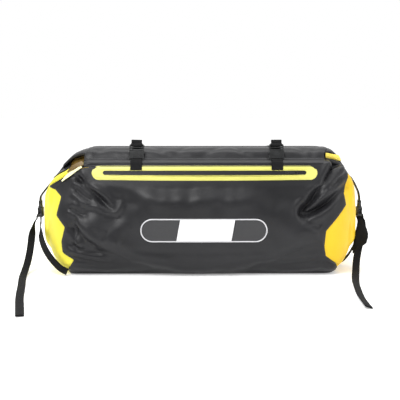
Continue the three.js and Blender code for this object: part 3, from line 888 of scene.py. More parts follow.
def settle_as_cloth(skin):
    """The skin after the cloth run, with its movement smoothed, capped and kept off the zip."""
    columns = skin.shape[1]
    ring = skin[2:-2]
    vertices = ring.reshape(-1, 3)
    faces = grid_faces(len(ring), columns, wrap=True)
    faces.append(tuple(range(columns)))
    last = (len(ring) - 1) * columns
    faces.append(tuple(last + k for k in reversed(range(columns))))
    piece = add_piece("skin_for_cloth", vertices, faces, BLACK, None)
    shift = run_cloth(piece, cloth_grip(ring)).reshape(ring.shape) - ring
    bpy.data.objects.remove(piece)
    for _ in range(5):
        shift = 0.5 * shift + 0.25 * (np.roll(shift, 1, axis=1) + np.roll(shift, -1, axis=1))
        shift[1:-1] = 0.5 * shift[1:-1] + 0.25 * (shift[2:] + shift[:-2])
    shift *= zip_hold(ring)[..., None]
    size = np.linalg.norm(shift, axis=2, keepdims=True)
    shift *= np.minimum(1, CLOTH_CAP / np.maximum(size, 1e-9))
    outward = normals_of(skin)[2:-2]
    bulge = (shift * outward).sum(2, keepdims=True)
    at_ends = smooth_step(np.abs(ring[..., :1]), 0.26, 0.31)
    shift -= outward * np.maximum(bulge - END_BULGE, 0) * at_ends
    settled = skin.copy()
    settled[2:-2] += shift
    return settled


def trunk_skin():
    skin = sag(base_skin())
    skin = settle_as_cloth(skin)
    normal = normals_of(skin)
    depth = fold_depth(skin, FRONT_FOLDS, -1) + fold_depth(skin, BACK_FOLDS, 1)
    calm = zip_hold(skin) * badge_hold(skin)
    skin = skin + normal * (depth * calm)[..., None]
    skin[..., 2] = np.maximum(skin[..., 2], 0.6 * MM)
    return skin


def sample(skin, rows, columns):
    """The skin at fractional rows and columns, smoothly."""
    count = skin.shape[1]
    i = np.clip(np.floor(rows).astype(int), 0, skin.shape[0] - 2)
    j = np.floor(columns).astype(int)
    u, v = (rows - i)[..., None], (columns - j)[..., None]
    a, b = skin[i, j % count], skin[i, (j + 1) % count]
    c, d = skin[i + 1, j % count], skin[i + 1, (j + 1) % count]
    return (a * (1 - v) + b * v) * (1 - u) + (c * (1 - v) + d * v) * u


# Where the black panel ends, as (height, distance from the middle) in millimetres.
BLACK_EDGE = {
    "left": [(0, 282), (12, 287), (36, 271), (52, 295), (76, 297), (107, 289), (131, 308), (170, 298),
             (184, 314), (191, 333), (202, 333), (205, 302), (222, 277), (237, 254), (246, 248)],
    "right": [(0, 300), (12, 299), (27, 292), (45, 268), (69, 264), (99, 268), (152, 313), (175, 309),
              (209, 320), (226, 319), (240, 302), (250, 292)],
}
PANEL_COLUMNS = 340


def edge_rows(skin, name, side):
    """For each panel column, the fractional row at which the skin reaches the black panel's edge."""
    heights, reaches = (np.array(BLACK_EDGE[name], float) * MM).T
    columns = np.linspace(0, skin.shape[1], PANEL_COLUMNS, endpoint=False)
    middle_row = (skin.shape[0] - 1) / 2
    steps = np.linspace(middle_row, 0 if side < 0 else skin.shape[0] - 1, 900)
    rows, cols = np.meshgrid(steps, columns, indexing="ij")
    points = sample(skin, rows, cols)
    past = side * points[..., 0] >= np.interp(points[..., 2], heights, reaches)
    first = np.where(past.any(axis=0), np.argmax(past, axis=0), len(steps) - 25)
    return columns, steps[first]


def mouth_cut(faces, points):
    """The faces that do not lie in the mouth's opening."""
    kept = []
    for face in faces:
        at = points[list(face)].mean(0)
        if not all(low < value < high for low, value, high in zip(MOUTH[0], at, MOUTH[1])):
            kept.append(face)
    return kept


def add_panel(name, skin, columns, start, end, count, lift, material, replaces, both_rims):
    """The skin between two lines of rows, with a welded rim along the first line or along both."""
    share = np.linspace(0, 1, count)[:, None]
    rows = start[None] * (1 - share) + end[None] * share
    cols = np.broadcast_to(columns[None], rows.shape)
    normal = sample(normals_of(skin), rows, cols)
    normal /= np.maximum(np.linalg.norm(normal, axis=2, keepdims=True), 1e-9)
    points = sample(skin, rows, cols) + normal * lift
    points[..., 2] = np.maximum(points[..., 2], LOWEST)
    rim_row = np.where(share < 0.5, start, end) if both_rims else start
    metres = np.abs(rows - rim_row) * ROW_STEP
    rim = np.exp(-((metres - 0.004) / 0.0022) ** 2) * 0.55 + np.exp(-(metres / 0.0012) ** 2) * 0.6
    flat = points.reshape(-1, 3)
    kept = mouth_cut(grid_faces(count, len(columns), wrap=True), flat)
    piece = add_piece(name, flat, kept, material, "trunk", replaces, rim=rim)
    clean = bmesh.new()
    clean.from_mesh(piece.data)
    bmesh.ops.remove_doubles(clean, verts=clean.verts, dist=1e-5)
    loose = [v for v in clean.verts if not v.link_faces]
    bmesh.ops.delete(clean, geom=loose, context="VERTS")
    bmesh.ops.recalc_face_normals(clean, faces=clean.faces)
    clean.to_mesh(piece.data)
    clean.free()
    thicken(piece, SKIN, 1.0 if points_inward(piece) else -1.0)
    return piece


def points_inward(piece):
    mesh = piece.data
    total = 0
    for face in mesh.polygons:
        total += face.normal.dot(face.center - Vector((face.center.x * 0.9, 0, HEART_Z)))
    return total < 0


def add_trunk():
    skin = trunk_skin()
    columns, left = edge_rows(skin, "left", -1)
    _, right = edge_rows(skin, "right", 1)
    lap = 1.6                     # rows by which the yellow ends start short of the black edge
    left_pole = np.full(PANEL_COLUMNS, 0.02)
    right_pole = np.full(PANEL_COLUMNS, len(skin) - 1.02)
    black = add_panel("black_shell", skin, columns, left, right, 340, 1.5 * MM, BLACK,
                      ("front_panel", "back_panel", "base_panel"), True)
    add_panel("left_end_shell", skin, columns, left + lap, left_pole, 46, 0.2 * MM, LEMON,
              ("left_end_panel",), False)
    add_panel("right_end_shell", skin, columns, right - lap, right_pole, 46, 0.2 * MM, YELLOW,
              ("right_end_panel",), False)
    return skin, black


SKIN_GRID, BLACK_SHELL = add_trunk()


# ---------------------------------------------------------------- side-release buckles

SOCKET_DEPTH = 7
WALL = 1.6
SOCKET_HEIGHT = 22


def female_outline(half, low):
    right = [(half - 1.6, 0), (half, -1.8), (half, -4.4), (half - 1.5, -7.6), (half - 1.5, -11), (half, -14.4),
             (half, -18), (half - 2.4, low)]
    return right + [(-x, z) for x, z in reversed(right)]


def add_female(name, web, place, body, replaces):
    half = (web / MM + 9) / 2
    depth = SOCKET_DEPTH + 2 * WALL
    low = -SOCKET_HEIGHT
    parts = Parts(place)
    outline = rounded(female_outline(half, low), 1.8)
    slot_hole = rectangle(-half + 4, half - 4, -19.7, -16.3, 1.0)
    for side in (-1, 1):
        parts.plate([outline, slot_hole], WALL * MM, 0.5 * MM, shifted(y=side * (depth - WALL) / 2) @ UPRIGHT)
    heel = rounded([(half - 0.3, -14.3), (half - 0.3, -18), (half - 2.8, low + 0.3), (-half + 2.8, low + 0.3),
                    (-half + 0.3, -18), (-half + 0.3, -14.3)], 1.2)
    parts.plate([heel, slot_hole], (SOCKET_DEPTH + 0.4) * MM, 0.1 * MM, UPRIGHT)
    for side in (-1, 1):
        rail = rectangle(*sorted((side * (half - 2.1), side * (half - 0.3))), -4.6, -0.3, 0.6)
        parts.plate([rail], (SOCKET_DEPTH + 0.4) * MM, 0.1 * MM, UPRIGHT)
        inner = rectangle(*sorted((side * 3.3, side * 4.1)), -13.6, -2, 0.2)
        parts.plate([inner], (SOCKET_DEPTH + 0.4) * MM, 0.1 * MM, UPRIGHT)
    pad = rounded([(half * 0.5, -2.4), (half * 0.62, -7.5), (half * 0.5, -13), (-half * 0.5, -13),
                   (-half * 0.62, -7.5), (-half * 0.5, -2.4)], 2.2)
    parts.plate([pad], 0.9 * MM, 0.3 * MM, shifted(y=-depth / 2 - 0.1) @ UPRIGHT)
    for k in range(4):
        bar = rectangle(-half * 0.4, half * 0.4, -4.7 - 2 * k, -3.9 - 2 * k, 0.3)
        parts.plate([bar], 0.8 * MM, 0.25 * MM, shifted(y=-depth / 2 - 0.5) @ UPRIGHT)
    return parts.piece(name, PLASTIC, body, "plastic", replaces)


def add_male(name, web, place, body, replaces):
    half = (web / MM + 9) / 2
    parts = Parts(place)
    bridge = [(half - 1, 0.4), (half - 1, 9), (half - 1.6, 15.2), (-half + 1.6, 15.2), (-half + 1, 9),
              (-half + 1, 0.4)]
    high_slot = rectangle(-half + 4, half - 4, 9.3, 12.7, 1.0)
    low_slot = rectangle(-half + 4, half - 4, 4.6, 7.2, 1.0)
    parts.plate([rounded(bridge, 1.8), high_slot, low_slot], 5.2 * MM, 0.9 * MM, UPRIGHT)
    collar = rectangle(-half + 1, half - 1, 0.4, 3.4, 1.2)
    parts.plate([collar], SOCKET_DEPTH * MM, 0.9 * MM, UPRIGHT)
    x = half - 6
    for side in (-1, 1):
        prong = [(x - 2, 1), (x + 2, 1), (x + 1.6, -3.5), (x + 2.6, -7), (x + 2.3, -9.4), (x - 0.4, -10.5),
                 (x - 1.6, -8), (x - 1.2, -3.5)]
        if side < 0:
            prong = [(-px, pz) for px, pz in reversed(prong)]
        parts.plate([rounded(prong, 0.9)], 3.4 * MM, 0.6 * MM, UPRIGHT)
    guide = rounded([(-2.4, 1), (2.4, 1), (2.1, -9), (0, -10.6), (-2.1, -9)], 0.8)
    parts.plate([guide], 3.4 * MM, 0.6 * MM, UPRIGHT)
    return parts.piece(name, PLASTIC, body, "plastic", replaces)


# ---------------------------------------------------------------- the ends of the bag

ROLL_Y = -22 * MM
RING_Y = 26 * MM
RING_Z = 130 * MM
RING_HALF = 13 * MM
RING_WIRE = 2 * MM

# The lower straps, from their seams at the base up to the sockets.
LOWER_ROUTES = {
    "left": [(-286, -140, 10), (-300, -139, 17), (-315, -136, 31), (-330, -127, 48), (-343, -110, 67),
             (-352, -85, 84), (-357, -57, 96), (-358, -44, 104), (-358, -42, 119)],
    "right": [(298, -25, 3.5), (312, -26, 5.5), (327, -29, 13), (340, -33, 30), (351, -37, 54),
              (358, -40, 84), (358, -42, 119)],
}
# Which way a lower strap's face looks at the base, and where along it the turn to the socket starts and ends.
LOWER_FACES = {"left": (-0.3, -0.95, -0.1), "right": (0.5, 0.1, -0.87)}
LOWER_TWIST = {"left": (0.62, 0.97), "right": (0.0, 0.7)}


def end_place(side):
    turned = Matrix.Rotation(side * math.pi / 2, 4, "Z")
    return Matrix.Translation((side * END_X, END_Y, END_BUCKLE_Z)) @ turned


def add_ring(side_name, side):
    x = middle(f"{side_name}_ring").x
    line = [(x, RING_Y - RING_HALF + k * RING_HALF / 4, RING_Z) for k in range(9)]
    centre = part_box(f"{side_name}_ring")[0].z + RING_WIRE + RING_HALF
    for turn in np.linspace(0, math.pi, 17):
        line.append((x, RING_Y + RING_HALF * math.cos(turn), centre - RING_HALF * math.sin(turn)))
    parts = Parts()
    parts.tube(even_steps(np.array(line + [line[0]]), 72)[:-1], RING_WIRE, closed=True, sides=14)
    ring = parts.piece(f"{side_name}_d_ring", STEEL, f"{side_name}_lash_ring", "steel", (f"{side_name}_ring",))
    ring.data.shade_smooth()

    bar = abs(x)
    sleeve = RING_WIRE + 1.1 * MM
    profile = [(0.3480, 0.1610), (0.3508, 0.1500), (0.3516, 0.1400)]
    for turn in np.linspace(math.pi, 2.35 * math.pi, 13):
        profile.append((bar + sleeve * math.cos(turn), RING_Z + sleeve * math.sin(turn)))
    profile += [(0.3538, 0.1400), (0.3528, 0.1500), (0.3500, 0.1610)]
    line = spline([(side * px, RING_Y, pz) for px, pz in profile], 90)
    add_strip(f"{side_name}_ring_loop", line, (0, side, 0), 18 * MM, 1.3 * MM, "trunk",
              (f"{side_name}_ring_tab",))
    add_stitches(f"{side_name}_ring_stitches", (side * 0.3530, RING_Y, 0.1505), (side * 0.08, 0, -1),
                 (0, side, 0), 11 * MM, 12 * MM, "trunk")


# The band that narrows from the end of the roll into the webbing of the end strap:
# distance from the middle, height, width and thickness, in millimetres.
WING = {
    "left": [(286, 242, 84, 13), (298, 233, 74, 10), (310, 220, 58, 6), (321, 207, 40, 3.4),
             (331, 194, 26, 2.2), (341, 182, 21, 1.7), (350, 171, 20, 1.6), (356.5, 161, 20, 1.6),
             (358, 150, 20, 1.6)],
    "right": [(290, 259, 80, 12), (301, 251, 68, 10), (311, 240, 52, 6), (320, 227.5, 38, 3.4),
              (329, 214.5, 27, 2.2), (339, 201, 22, 1.7), (347, 187, 20, 1.6), (355, 169, 20, 1.6),
              (358, 150, 20, 1.6)],
}


def add_wing(side_name, side):
    rows = spline(np.array(WING[side_name], float) * MM, 70)
    share = smooth_step(rows[:, 0], 0.29, 0.345)
    depth = ROLL_Y * (1 - share) + END_Y * share
    line = np.stack([side * rows[:, 0], depth, rows[:, 1]], 1)
    add_strip(f"{side_name}_wing", line, (0, side, 0), rows[:, 2], rows[:, 3], "closure",
              (f"{side_name}_roll_web",), material=BLACK)
    lower = line[42:] + np.array([side * 1.3 * MM, 0, 0.9 * MM])
    add_strip(f"{side_name}_wing_web", lower, (0, side, 0), WEB_NARROW, WEB_THICK, "closure")


def add_end(side_name, side):
    place = end_place(side)
    add_female(f"{side_name}_end_socket", WEB_NARROW, place, "trunk", (f"{side_name}_end_female",))
    add_male(f"{side_name}_end_tongue", WEB_NARROW, place, "closure", (f"{side_name}_end_male",))
    route = spline(np.array(LOWER_ROUTES[side_name], float) * MM, 90)
    tangent = np.gradient(route, axis=0)
    flat = np.cross(tangent / np.linalg.norm(tangent, axis=1, keepdims=True), LOWER_FACES[side_name])
    share = smooth_step(np.linspace(0, 1, 90)[:, None], *LOWER_TWIST[side_name])
    across = flat * (1 - share) + np.array((0, side, 0)) * share
    add_strip(f"{side_name}_lower_strap", route, across, WEB_NARROW, WEB_THICK, "trunk",
              (f"{side_name}_lower_web",))
    add_ring(side_name, side)
    add_wing(side_name, side)


for side_name, side in SIDES:
    add_end(side_name, side)


# ---------------------------------------------------------------- the roll and the collar

ROLL_HALF_WIDTH = 62 * MM
ROLL_TOP = 271 * MM
ROLL_ENDS = (-0.301, 0.306)
ROLL_TURNS = 2.5
ROLL_FABRIC = 1.1 * MM


def roll_top(x):
    left = np.interp(-x, [0.236, 0.250, 0.264, 0.278, 0.290, 0.302], [0, 0.0012, 0.005, 0.011, 0.021, 0.033])
    right = np.interp(x, [0.282, 0.292, 0.300, 0.306], [0, 0.003, 0.010, 0.016])
    return ROLL_TOP - left - right


def roll_half_height(x):
    return 0.0235 - 0.0165 * smooth_step(-x, 0.205, 0.262) - 0.0165 * smooth_step(x, 0.205, 0.282)


def roll_half_width(x):
    return ROLL_HALF_WIDTH - 0.013 * smooth_step(-x, 0.24, 0.30) - 0.015 * smooth_step(x, 0.25, 0.306)


def add_roll():
    """The collar rolled up round its stiffener: a flattened spiral drawn out along the bag."""
    turns = np.linspace(0, ROLL_TURNS * 2 * math.pi, 150)
    shrink = 1 - 0.105 * turns / (2 * math.pi)
    stations = np.linspace(*ROLL_ENDS, 190)
    vertices = []
    for x in stations:
        half_height, half_width = roll_half_height(x), roll_half_width(x)
        centre = roll_top(x) - half_height
        sway = 0.0012 * math.sin(31 * x + 0.7) + 0.0007 * math.sin(83 * x)
        for turn, inward in zip(turns, shrink):
            angle = turn + math.radians(150)
            c, s = math.cos(angle), math.sin(angle)
            y = ROLL_Y + half_width * inward * math.copysign(abs(c) ** 0.85, c)
            flatter = inward - 0.04 * turn / (2 * math.pi)
            z = centre + half_height * flatter * math.copysign(abs(s) ** 0.8, s)
            ripple = (0.0009 * math.sin(23 * x + 2.5 * c) + sway) * (0.4 + 0.6 * abs(s)) * (s < 0.55)
            vertices.append((x, y, z + ripple * 0.6 - 0.0004))
    faces = grid_faces(len(stations), len(turns))
    roll = add_piece("rolled_collar", vertices, faces, BLACK, "closure",
                     ("closure_roll", "closure_stiffener"))
    thicken(roll, ROLL_FABRIC, 0)


# The laps that join the trunk's shoulders to the roll, as (y, z) in millimetres from the trunk upwards.
FRONT_LAP = [(-113.6, 240.4), (-109.5, 244.6), (-104, 247.2), (-98, 248.2), (-93.6, 249.8), (-91, 254),
             (-88.4, 259), (-84, 264.4), (-76, 268.8), (-66, 271.2), (-52, 272.2), (-36, 272.2), (-22, 271.9)]
BACK_LAP = [(92, 240.5), (82, 243), (72, 243.2), (60, 242.6), (50, 243.4), (44.5, 247), (42, 253), (38, 260),
            (28, 266.6), (14, 270.6), (0, 271.8)]
LAP_ROWS = 60
# Creases across a lap: x, how far they lean, width and depth in metres.
LAP_DENTS = [
    (-0.215, 0.05, 0.012, 0.0028), (-0.090, -0.08, 0.014, 0.0032), (-0.040, 0.06, 0.010, 0.0022),
    (0.030, 0.09, 0.013, 0.0030), (0.085, -0.06, 0.010, 0.0024), (0.222, -0.05, 0.012, 0.0030),
    (-0.185, -0.03, 0.007, -0.0010), (0.060, 0.02, 0.008, -0.0010), (0.250, 0.03, 0.007, 0.0024),
]


def add_lap(name, profile, span_low, span_high, seed):
    """One lap. Its spans are its ends in x at the trunk and at the roll."""
    rows = spline(np.array(profile, float) * MM, LAP_ROWS)
    columns = 230
    up = np.linspace(0, 1, LAP_ROWS)
    vertices = []
    for (y, z), share in zip(rows, up):
        high = smooth_step(share, 0.30, 0.55)
        left = span_low[0] * (1 - high) + span_high[0] * high
        right = span_low[1] * (1 - high) + span_high[1] * high
        valley = math.exp(-((share - 0.5) / 0.22) ** 2)
        middle_share = math.exp(-((share - 0.36) / 0.11) ** 2)
        inward = 1 if y < 0 else -1
        for x in np.linspace(left, right, columns):
            drop = shoulder_drop(x) * (1 - high) + (ROLL_TOP - roll_top(x)) * high
            wave = 0.0011 * math.sin(27 * x + seed) + 0.0007 * math.sin(61 * x + 2 * seed)
            dent = 0
            for at, lean, wide, size in LAP_DENTS:
                dent += size * valley * math.exp(-((x - at - lean * (share - 0.5)) / wide) ** 2)
            edge = math.exp(-min(x - left, right - x) / 0.006)
            push = abs(wave) * middle_share + 0.002 * edge + dent
            vertices.append((x, y + inward * push, z - drop - 0.0006 * edge - 0.6 * max(dent, 0)))
    faces = grid_faces(LAP_ROWS, columns)
    at = np.tile(np.linspace(0, 1, columns), LAP_ROWS)
    edge_rim = np.exp(-(np.minimum(at, 1 - at) / 0.008) ** 2) * 0.5
    low_rim = np.exp(-((np.repeat(up, columns) - 0.02) / 0.02) ** 2) * 0.4
    lap = add_piece(name, vertices, faces, BLACK, None, rim=np.maximum(edge_rim, low_rim))
    thicken(lap, ROLL_FABRIC, 0)
    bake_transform(lap)


def add_inner_collar():
    """The tube of fabric between the mouth's rim and the roll, out of sight until the roll is lifted."""
    around = 160
    levels = 14
    vertices = []
    for level in np.linspace(0, 1, levels):
        for turn in np.linspace(0, 2 * math.pi, around, endpoint=False):
            c, s = math.cos(turn), math.sin(turn)
            x = 0.246 * math.copysign(abs(c) ** 0.16, c)
            y = ROLL_Y + 0.0495 * math.copysign(abs(s) ** 0.35, s)
            vertices.append((x, y, 0.2285 + 0.0035 * level))
    faces = grid_faces(levels, around, wrap=True)
    collar = add_piece("inner_collar", vertices, faces, BLACK, None)
    thicken(collar, 1.0 * MM, 0)
    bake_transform(collar)


add_roll()
add_lap("front_lap", FRONT_LAP, (-0.252, 0.270), (-0.246, 0.279),
        0.6)
add_lap("back_lap", BACK_LAP, (-0.250, 0.262), (-0.244, 0.270),
        2.1)
add_inner_collar()


# ---------------------------------------------------------------- top straps

STRAP_LINE = [(127.2, 215), (119, 228), (103, 240), (84, 248), (64, 254.5), (44, 262.5), (24, 268.8),
              (2, 272.4), (-22, 273.8), (-46, 274.2), (-68, 275.2), (-84.4, 277)]
BACK_ANCHOR = [(150.8, 150), (147.4, 174), (141, 192), (136.6, 200)]
TOP_BUCKLE = (-93 * MM, 266 * MM)
STRAP_PIVOT = (128 * MM, 212 * MM)                  # where a thrown-back strap turns, as in the CAD
TOP_LEAN = math.atan2(TOP_BUCKLE[1] - STRAP_PIVOT[1], STRAP_PIVOT[0] - TOP_BUCKLE[0])
STUB_LEAN = {"left": -0.12, "right": 0.05}          # how far a strap's free end is askew


def add_top_strap(side_name):
    x = middle(f"{side_name}_strap_web").x
    body = f"{side_name}_strap"
    strap = spline([(x, y * MM, z * MM) for y, z in STRAP_LINE], 120)
    add_strip(f"{side_name}_top_strap", strap, (1, 0, 0), WEB_WIDE, WEB_THICK, body,
              (f"{side_name}_strap_web",))
    place = Matrix.Translation((x, *TOP_BUCKLE)) @ Matrix.Rotation(-TOP_LEAN, 4, "X")
    add_male(f"{side_name}_top_tongue", WEB_WIDE, place, body, (f"{side_name}_top_male",))
    add_female(f"{side_name}_top_socket", WEB_WIDE, place, "trunk", (f"{side_name}_top_female",))

    base = place @ Vector((0, 0, 10.6 * MM))
    tip = place @ Vector((0, 0, 25.2 * MM))
    stub = []
    for t in np.linspace(0, 1, 12):
        stub.append(tuple(base.lerp(tip, t) + Vector((0, -0.0016 * math.sin(3 * t), 0))))
    add_strip(f"{side_name}_stub", stub, (1, 0, STUB_LEAN[side_name]), 23 * MM, WEB_THICK, body,
              (f"{side_name}_strap_stub",))

    round_bar = [(-4.4, 11), (-4.6, 14), (-2, 16.6), (3, 16.4)]
    loop = spline([tuple(place @ Vector((0, y * MM, z * MM))) for y, z in round_bar], 24)
    add_strip(f"{side_name}_strap_loop", loop, (1, 0, 0), WEB_WIDE, WEB_THICK, body)

    low = ZIP_MIDDLE + ZIP_UP * 5.4 * MM + ZIP_OUT * 2.9 * MM
    front = [(low.y, low.z), (-0.1172, 0.2352), (-0.1148, 0.2428), (-0.1100, 0.2475), (-0.1045, 0.2494),
             (-0.0990, 0.2500)]
    front_line = spline([(x, y, z) for y, z in front], 40)
    add_strip(f"{side_name}_front_strap", front_line, (1, 0, 0), WEB_WIDE, WEB_THICK, "trunk",
              (f"{side_name}_front_web",))

    anchor = spline([(x, (y + 1.0) * MM, (z + 0.4) * MM) for y, z in BACK_ANCHOR], 50)
    add_strip(f"{side_name}_anchor_patch", anchor, (1, 0, 0), 34 * MM, WEB_THICK, "trunk",
              (f"{side_name}_back_anchor",))
    add_stitches(f"{side_name}_anchor_stitches", (x, 0.1506, 0.1720), (0, -0.2, 1), (-1, 0, 0),
                 26 * MM, 20 * MM, "trunk")


for side_name, _ in SIDES:
    add_top_strap(side_name)


# ---------------------------------------------------------------- zip pocket

FACET = Matrix.Translation(ZIP_MIDDLE) @ Matrix.Rotation(math.pi / 2 - ZIP_TILT, 4, "X")
WELT = (484, 33)
SLOT = (436, 9)
WELT_SAG = 1.7 * MM


def sagged(parts, lower_edge=-4 * MM):
    """Lets the welt's lower half hang a little in the middle."""
    back = FACET.inverted()
    for k, vertex in enumerate(parts.vertices):
        local = back @ vertex
        share = max(0.0, 1 - (local.x / (0.42 * WELT[0] * MM)) ** 2)
        if local.y < lower_edge:
            local.y -= WELT_SAG * share
            local.z -= 0.2 * MM
            parts.vertices[k] = FACET @ local


def welt_ring(parts, outer, inner, thickness, edge, lift):
    """A round-ended ring, its outline and hole this many millimetres larger than the welt and the slot."""
    outline = stadium((WELT[0] + outer) * MM, (WELT[1] + outer) * MM)
    hole = stadium((SLOT[0] + inner) * MM, (SLOT[1] + inner) * MM)
    parts.plate([outline, hole], thickness * MM, edge * MM, shifted(z=lift))


def add_welt():
    parts = Parts(FACET)
    welt_ring(parts, 0, 0, 1.6, 0.6, 1.1)
    welt_ring(parts, -5, 5, 1.2, 0.5, 1.7)
    lip = stadium((SLOT[0] + 3) * MM, (SLOT[1] + 3) * MM)
    lip_hole = stadium((SLOT[0] + 0.4) * MM, (SLOT[1] + 0.4) * MM)
    parts.plate([lip, lip_hole], 1.0 * MM, 0.4 * MM, shifted(z=1.9))
    sagged(parts)
    welt = parts.piece("zip_welt", WELT_YELLOW, "trunk", "yellow_tarpaulin", ("pocket_welt",))
    welt.data.shade_smooth()
    inner = Parts(FACET)
    inner.plate([stadium((SLOT[0] + 30) * MM, 34 * MM)], 0.8 * MM, 0.2 * MM, shifted(z=-4.4))
    inner.piece("pocket_lining", BLACK, "trunk", "tarpaulin", ("pocket_liner",))


ZIP_REACH = SLOT[0] / 2 - 10       # from the pocket's middle to the last tooth
TOOTH_PITCH = 2.2
SLIDER_X = ZIP_REACH - 10


def add_zip_row(name, side):
    """One tape with its teeth. The lower row's teeth lie half a pitch further along than the upper row's."""
    parts = Parts(FACET)
    tape = rectangle(-ZIP_REACH, ZIP_REACH, *sorted((side * 1.6, side * 4.5)), 0.2)
    parts.plate([tape], 0.8 * MM, 0.2 * MM, shifted(z=-1))
    for k in range(int(2 * ZIP_REACH / TOOTH_PITCH)):
        x = -ZIP_REACH + (k + (0.5 if side > 0 else 1.0)) * TOOTH_PITCH
        if x <= ZIP_REACH - 0.6:
            tooth = rectangle(x - 0.75, x + 0.75, *sorted((side * 0.3, side * 2.4)), 0.3)
            parts.plate([tooth[::2]], 1.3 * MM, 0.15 * MM, shifted(z=-1))
    parts.piece(f"zip_row_{name}", COIL, "trunk", "zip_tape", (f"zip_tape_{name}",))


def add_zip_end(name, side):
    x = side * (ZIP_REACH + 2.3)
    parts = Parts(FACET)
    parts.plate([rectangle(x - 2, x + 2, -3.4, 3.4, 0.8)], 1.3 * MM, 0.4 * MM, shifted(z=-1))
    parts.piece(f"zip_end_{name}", PLASTIC, "trunk", "plastic", (f"zip_stop_{name}",))


def add_slider():
    slider = Parts(FACET @ shifted(x=SLIDER_X))
    body = rounded([(-6, -3), (-3, -4.5), (4, -4.5), (6, -3.4), (6, 3.4), (4, 4.5), (-3, 4.5), (-6, 3)], 1.4)
    for lift in (0.5, -2.6):
        slider.plate([body], 1.2 * MM, 0.45 * MM, shifted(z=lift))
    slider.plate([rectangle(-5, 5, -0.2, 0.2, 0.1)], 2.6 * MM, 0.05 * MM, shifted(z=-1))
    for side in (-1, 1):
        post = rectangle(-0.6, 0.6, side * 3.6 - 0.5, side * 3.6 + 0.5, 0.3)
        slider.plate([post], 3.6 * MM, 0.2 * MM, shifted(z=2.6))
    slider.plate([rectangle(-0.6, 0.6, -4.0, 4.0, 0.4)], 0.8 * MM, 0.25 * MM, shifted(z=4.4))
    slider.piece("zip_runner", PLASTIC, "slider", "plastic", ("zip_slider",))


def add_pull():
    pull = Parts(FACET @ shifted(x=SLIDER_X, z=2.7))
    outline = rounded([(2, -2.6), (2, 2.6), (-6, 2.6), (-10, 3.5), (-22, 3.5), (-25.5, 1.8), (-25.5, -1.8),
                       (-22, -3.5), (-10, -3.5), (-6, -2.6)], 1.6)
    eye = rectangle(-4, 1, -1.8, 1.8, 0.5)
    hole = rounded([(-23, 0), (-21.6, 1.4), (-20.2, 0), (-21.6, -1.4)], 1.2)
    pull.plate([outline, eye, hole], 0.9 * MM, 0.35 * MM, shifted(z=0.4))
    for k in range(4):
        grip = rectangle(-12.6 - 2 * k, -11.8 - 2 * k, -2.4, 2.4, 0.3)
        pull.plate([grip], 0.5 * MM, 0.15 * MM, shifted(z=0.95))
    pull.piece("zip_tag", PLASTIC, "pull", "plastic", ("zip_pull",))


add_welt()
for name, side in (("upper", 1), ("lower", -1)):
    add_zip_row(name, side)
for side_name, side in SIDES:
    add_zip_end(side_name, side)
add_slider()
add_pull()


# ---------------------------------------------------------------- printed badge

def front_finder(piece):
    shape = bmesh.new()
    shape.from_mesh(piece.data)
    tree = BVHTree.FromBMesh(shape)
    shape.free()

    def find(x, z):
        hit = tree.ray_cast(Vector((x, -0.4, z)), Vector((0, 1, 0)))
        return hit[0].y if hit[0] is not None else -0.152
    return find


def add_patch(name, left, right, low, high, columns, rows, material, lift, replaces=()):
    """A printed area between two edges that are given for each height."""
    vertices = []
    for z in np.linspace(low, high, rows):
        for x in np.linspace(left(z), right(z), columns):
            vertices.append((x, FRONT_AT(x, z) - lift, z))
    patch = add_piece(name, vertices, grid_faces(rows, columns), material, "trunk", replaces)
    thicken(patch, 0.25 * MM, 0)


def add_badge():
    lo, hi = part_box("badge")
    centre_x, centre_z = (lo.x + hi.x) / 2, (lo.z + hi.z) / 2
    half_height = (hi.z - lo.z) / 2
    half_length = (hi.x - lo.x) / 2
    border = 2.6 * MM

    def end(z, side, inset):
        radius = half_height - inset
        dz = min(abs(z - centre_z), radius)
        return centre_x + side * (half_length - half_height + math.sqrt(max(radius ** 2 - dz ** 2, 0)))

    def slant(at_top, at_bottom):
        def edge(z):
            share = (z - (centre_z - half_height)) / (2 * half_height)
            return at_bottom + (at_top - at_bottom) * share
        return edge

    block_left, block_right = slant(-0.0430, -0.0520), slant(0.0738, 0.0650)
    gap = 1.0 * MM
    inner_low, inner_high = centre_z - half_height + border, centre_z + half_height - border
    add_patch("badge_dark_left", lambda z: end(z, -1, border), lambda z: block_left(z) - gap,
              inner_low, inner_high, 40, 30, INK_DARK, 0.5 * MM, ("badge",))
    add_patch("badge_dark_right", lambda z: block_right(z) + gap, lambda z: end(z, 1, border),
              inner_low, inner_high, 30, 30, INK_DARK, 0.5 * MM)
    add_patch("badge_block", block_left, block_right, inner_low, inner_high, 60, 24, INK_WHITE, 0.7 * MM)
    ring_count = 200
    vertices = []
    for inset in (0, border):
        outline = np.array(stadium(2 * (half_length - inset), 2 * (half_height - inset), 60))
        for x, z in even_steps(np.vstack([outline, outline[:1]]), ring_count + 1)[:-1] + (centre_x, centre_z):
            vertices.append((x, FRONT_AT(x, z) - 0.75 * MM, z))
    faces = grid_faces(2, ring_count, wrap=True)
    line = add_piece("badge_outline", vertices, faces, INK_GREY, "trunk")
    thicken(line, 0.25 * MM, 0)


FRONT_AT = front_finder(BLACK_SHELL)
add_badge()


# ---------------------------------------------------------------- what shows under the roll's ends

def column_near(depth):
    """The skin's column that runs along its upper half at this y."""
    ring = SKIN_GRID[ROWS // 2]
    return int(np.argmin(np.abs(ring[:, 1] - depth) + (ring[:, 2] < 0.2) * 1.0))


SHOULDER_COLUMN = {"facet": column_near(-0.1165), "front": column_near(-0.094), "back": column_near(0.080)}


def shoulder(x, where):
    """The trunk's highest line, front or back, at x."""
    line = SKIN_GRID[:, SHOULDER_COLUMN[where]]
    order = np.argsort(line[:, 0])
    return np.interp(x, line[order, 0], line[order, 1]), np.interp(x, line[order, 0], line[order, 2])


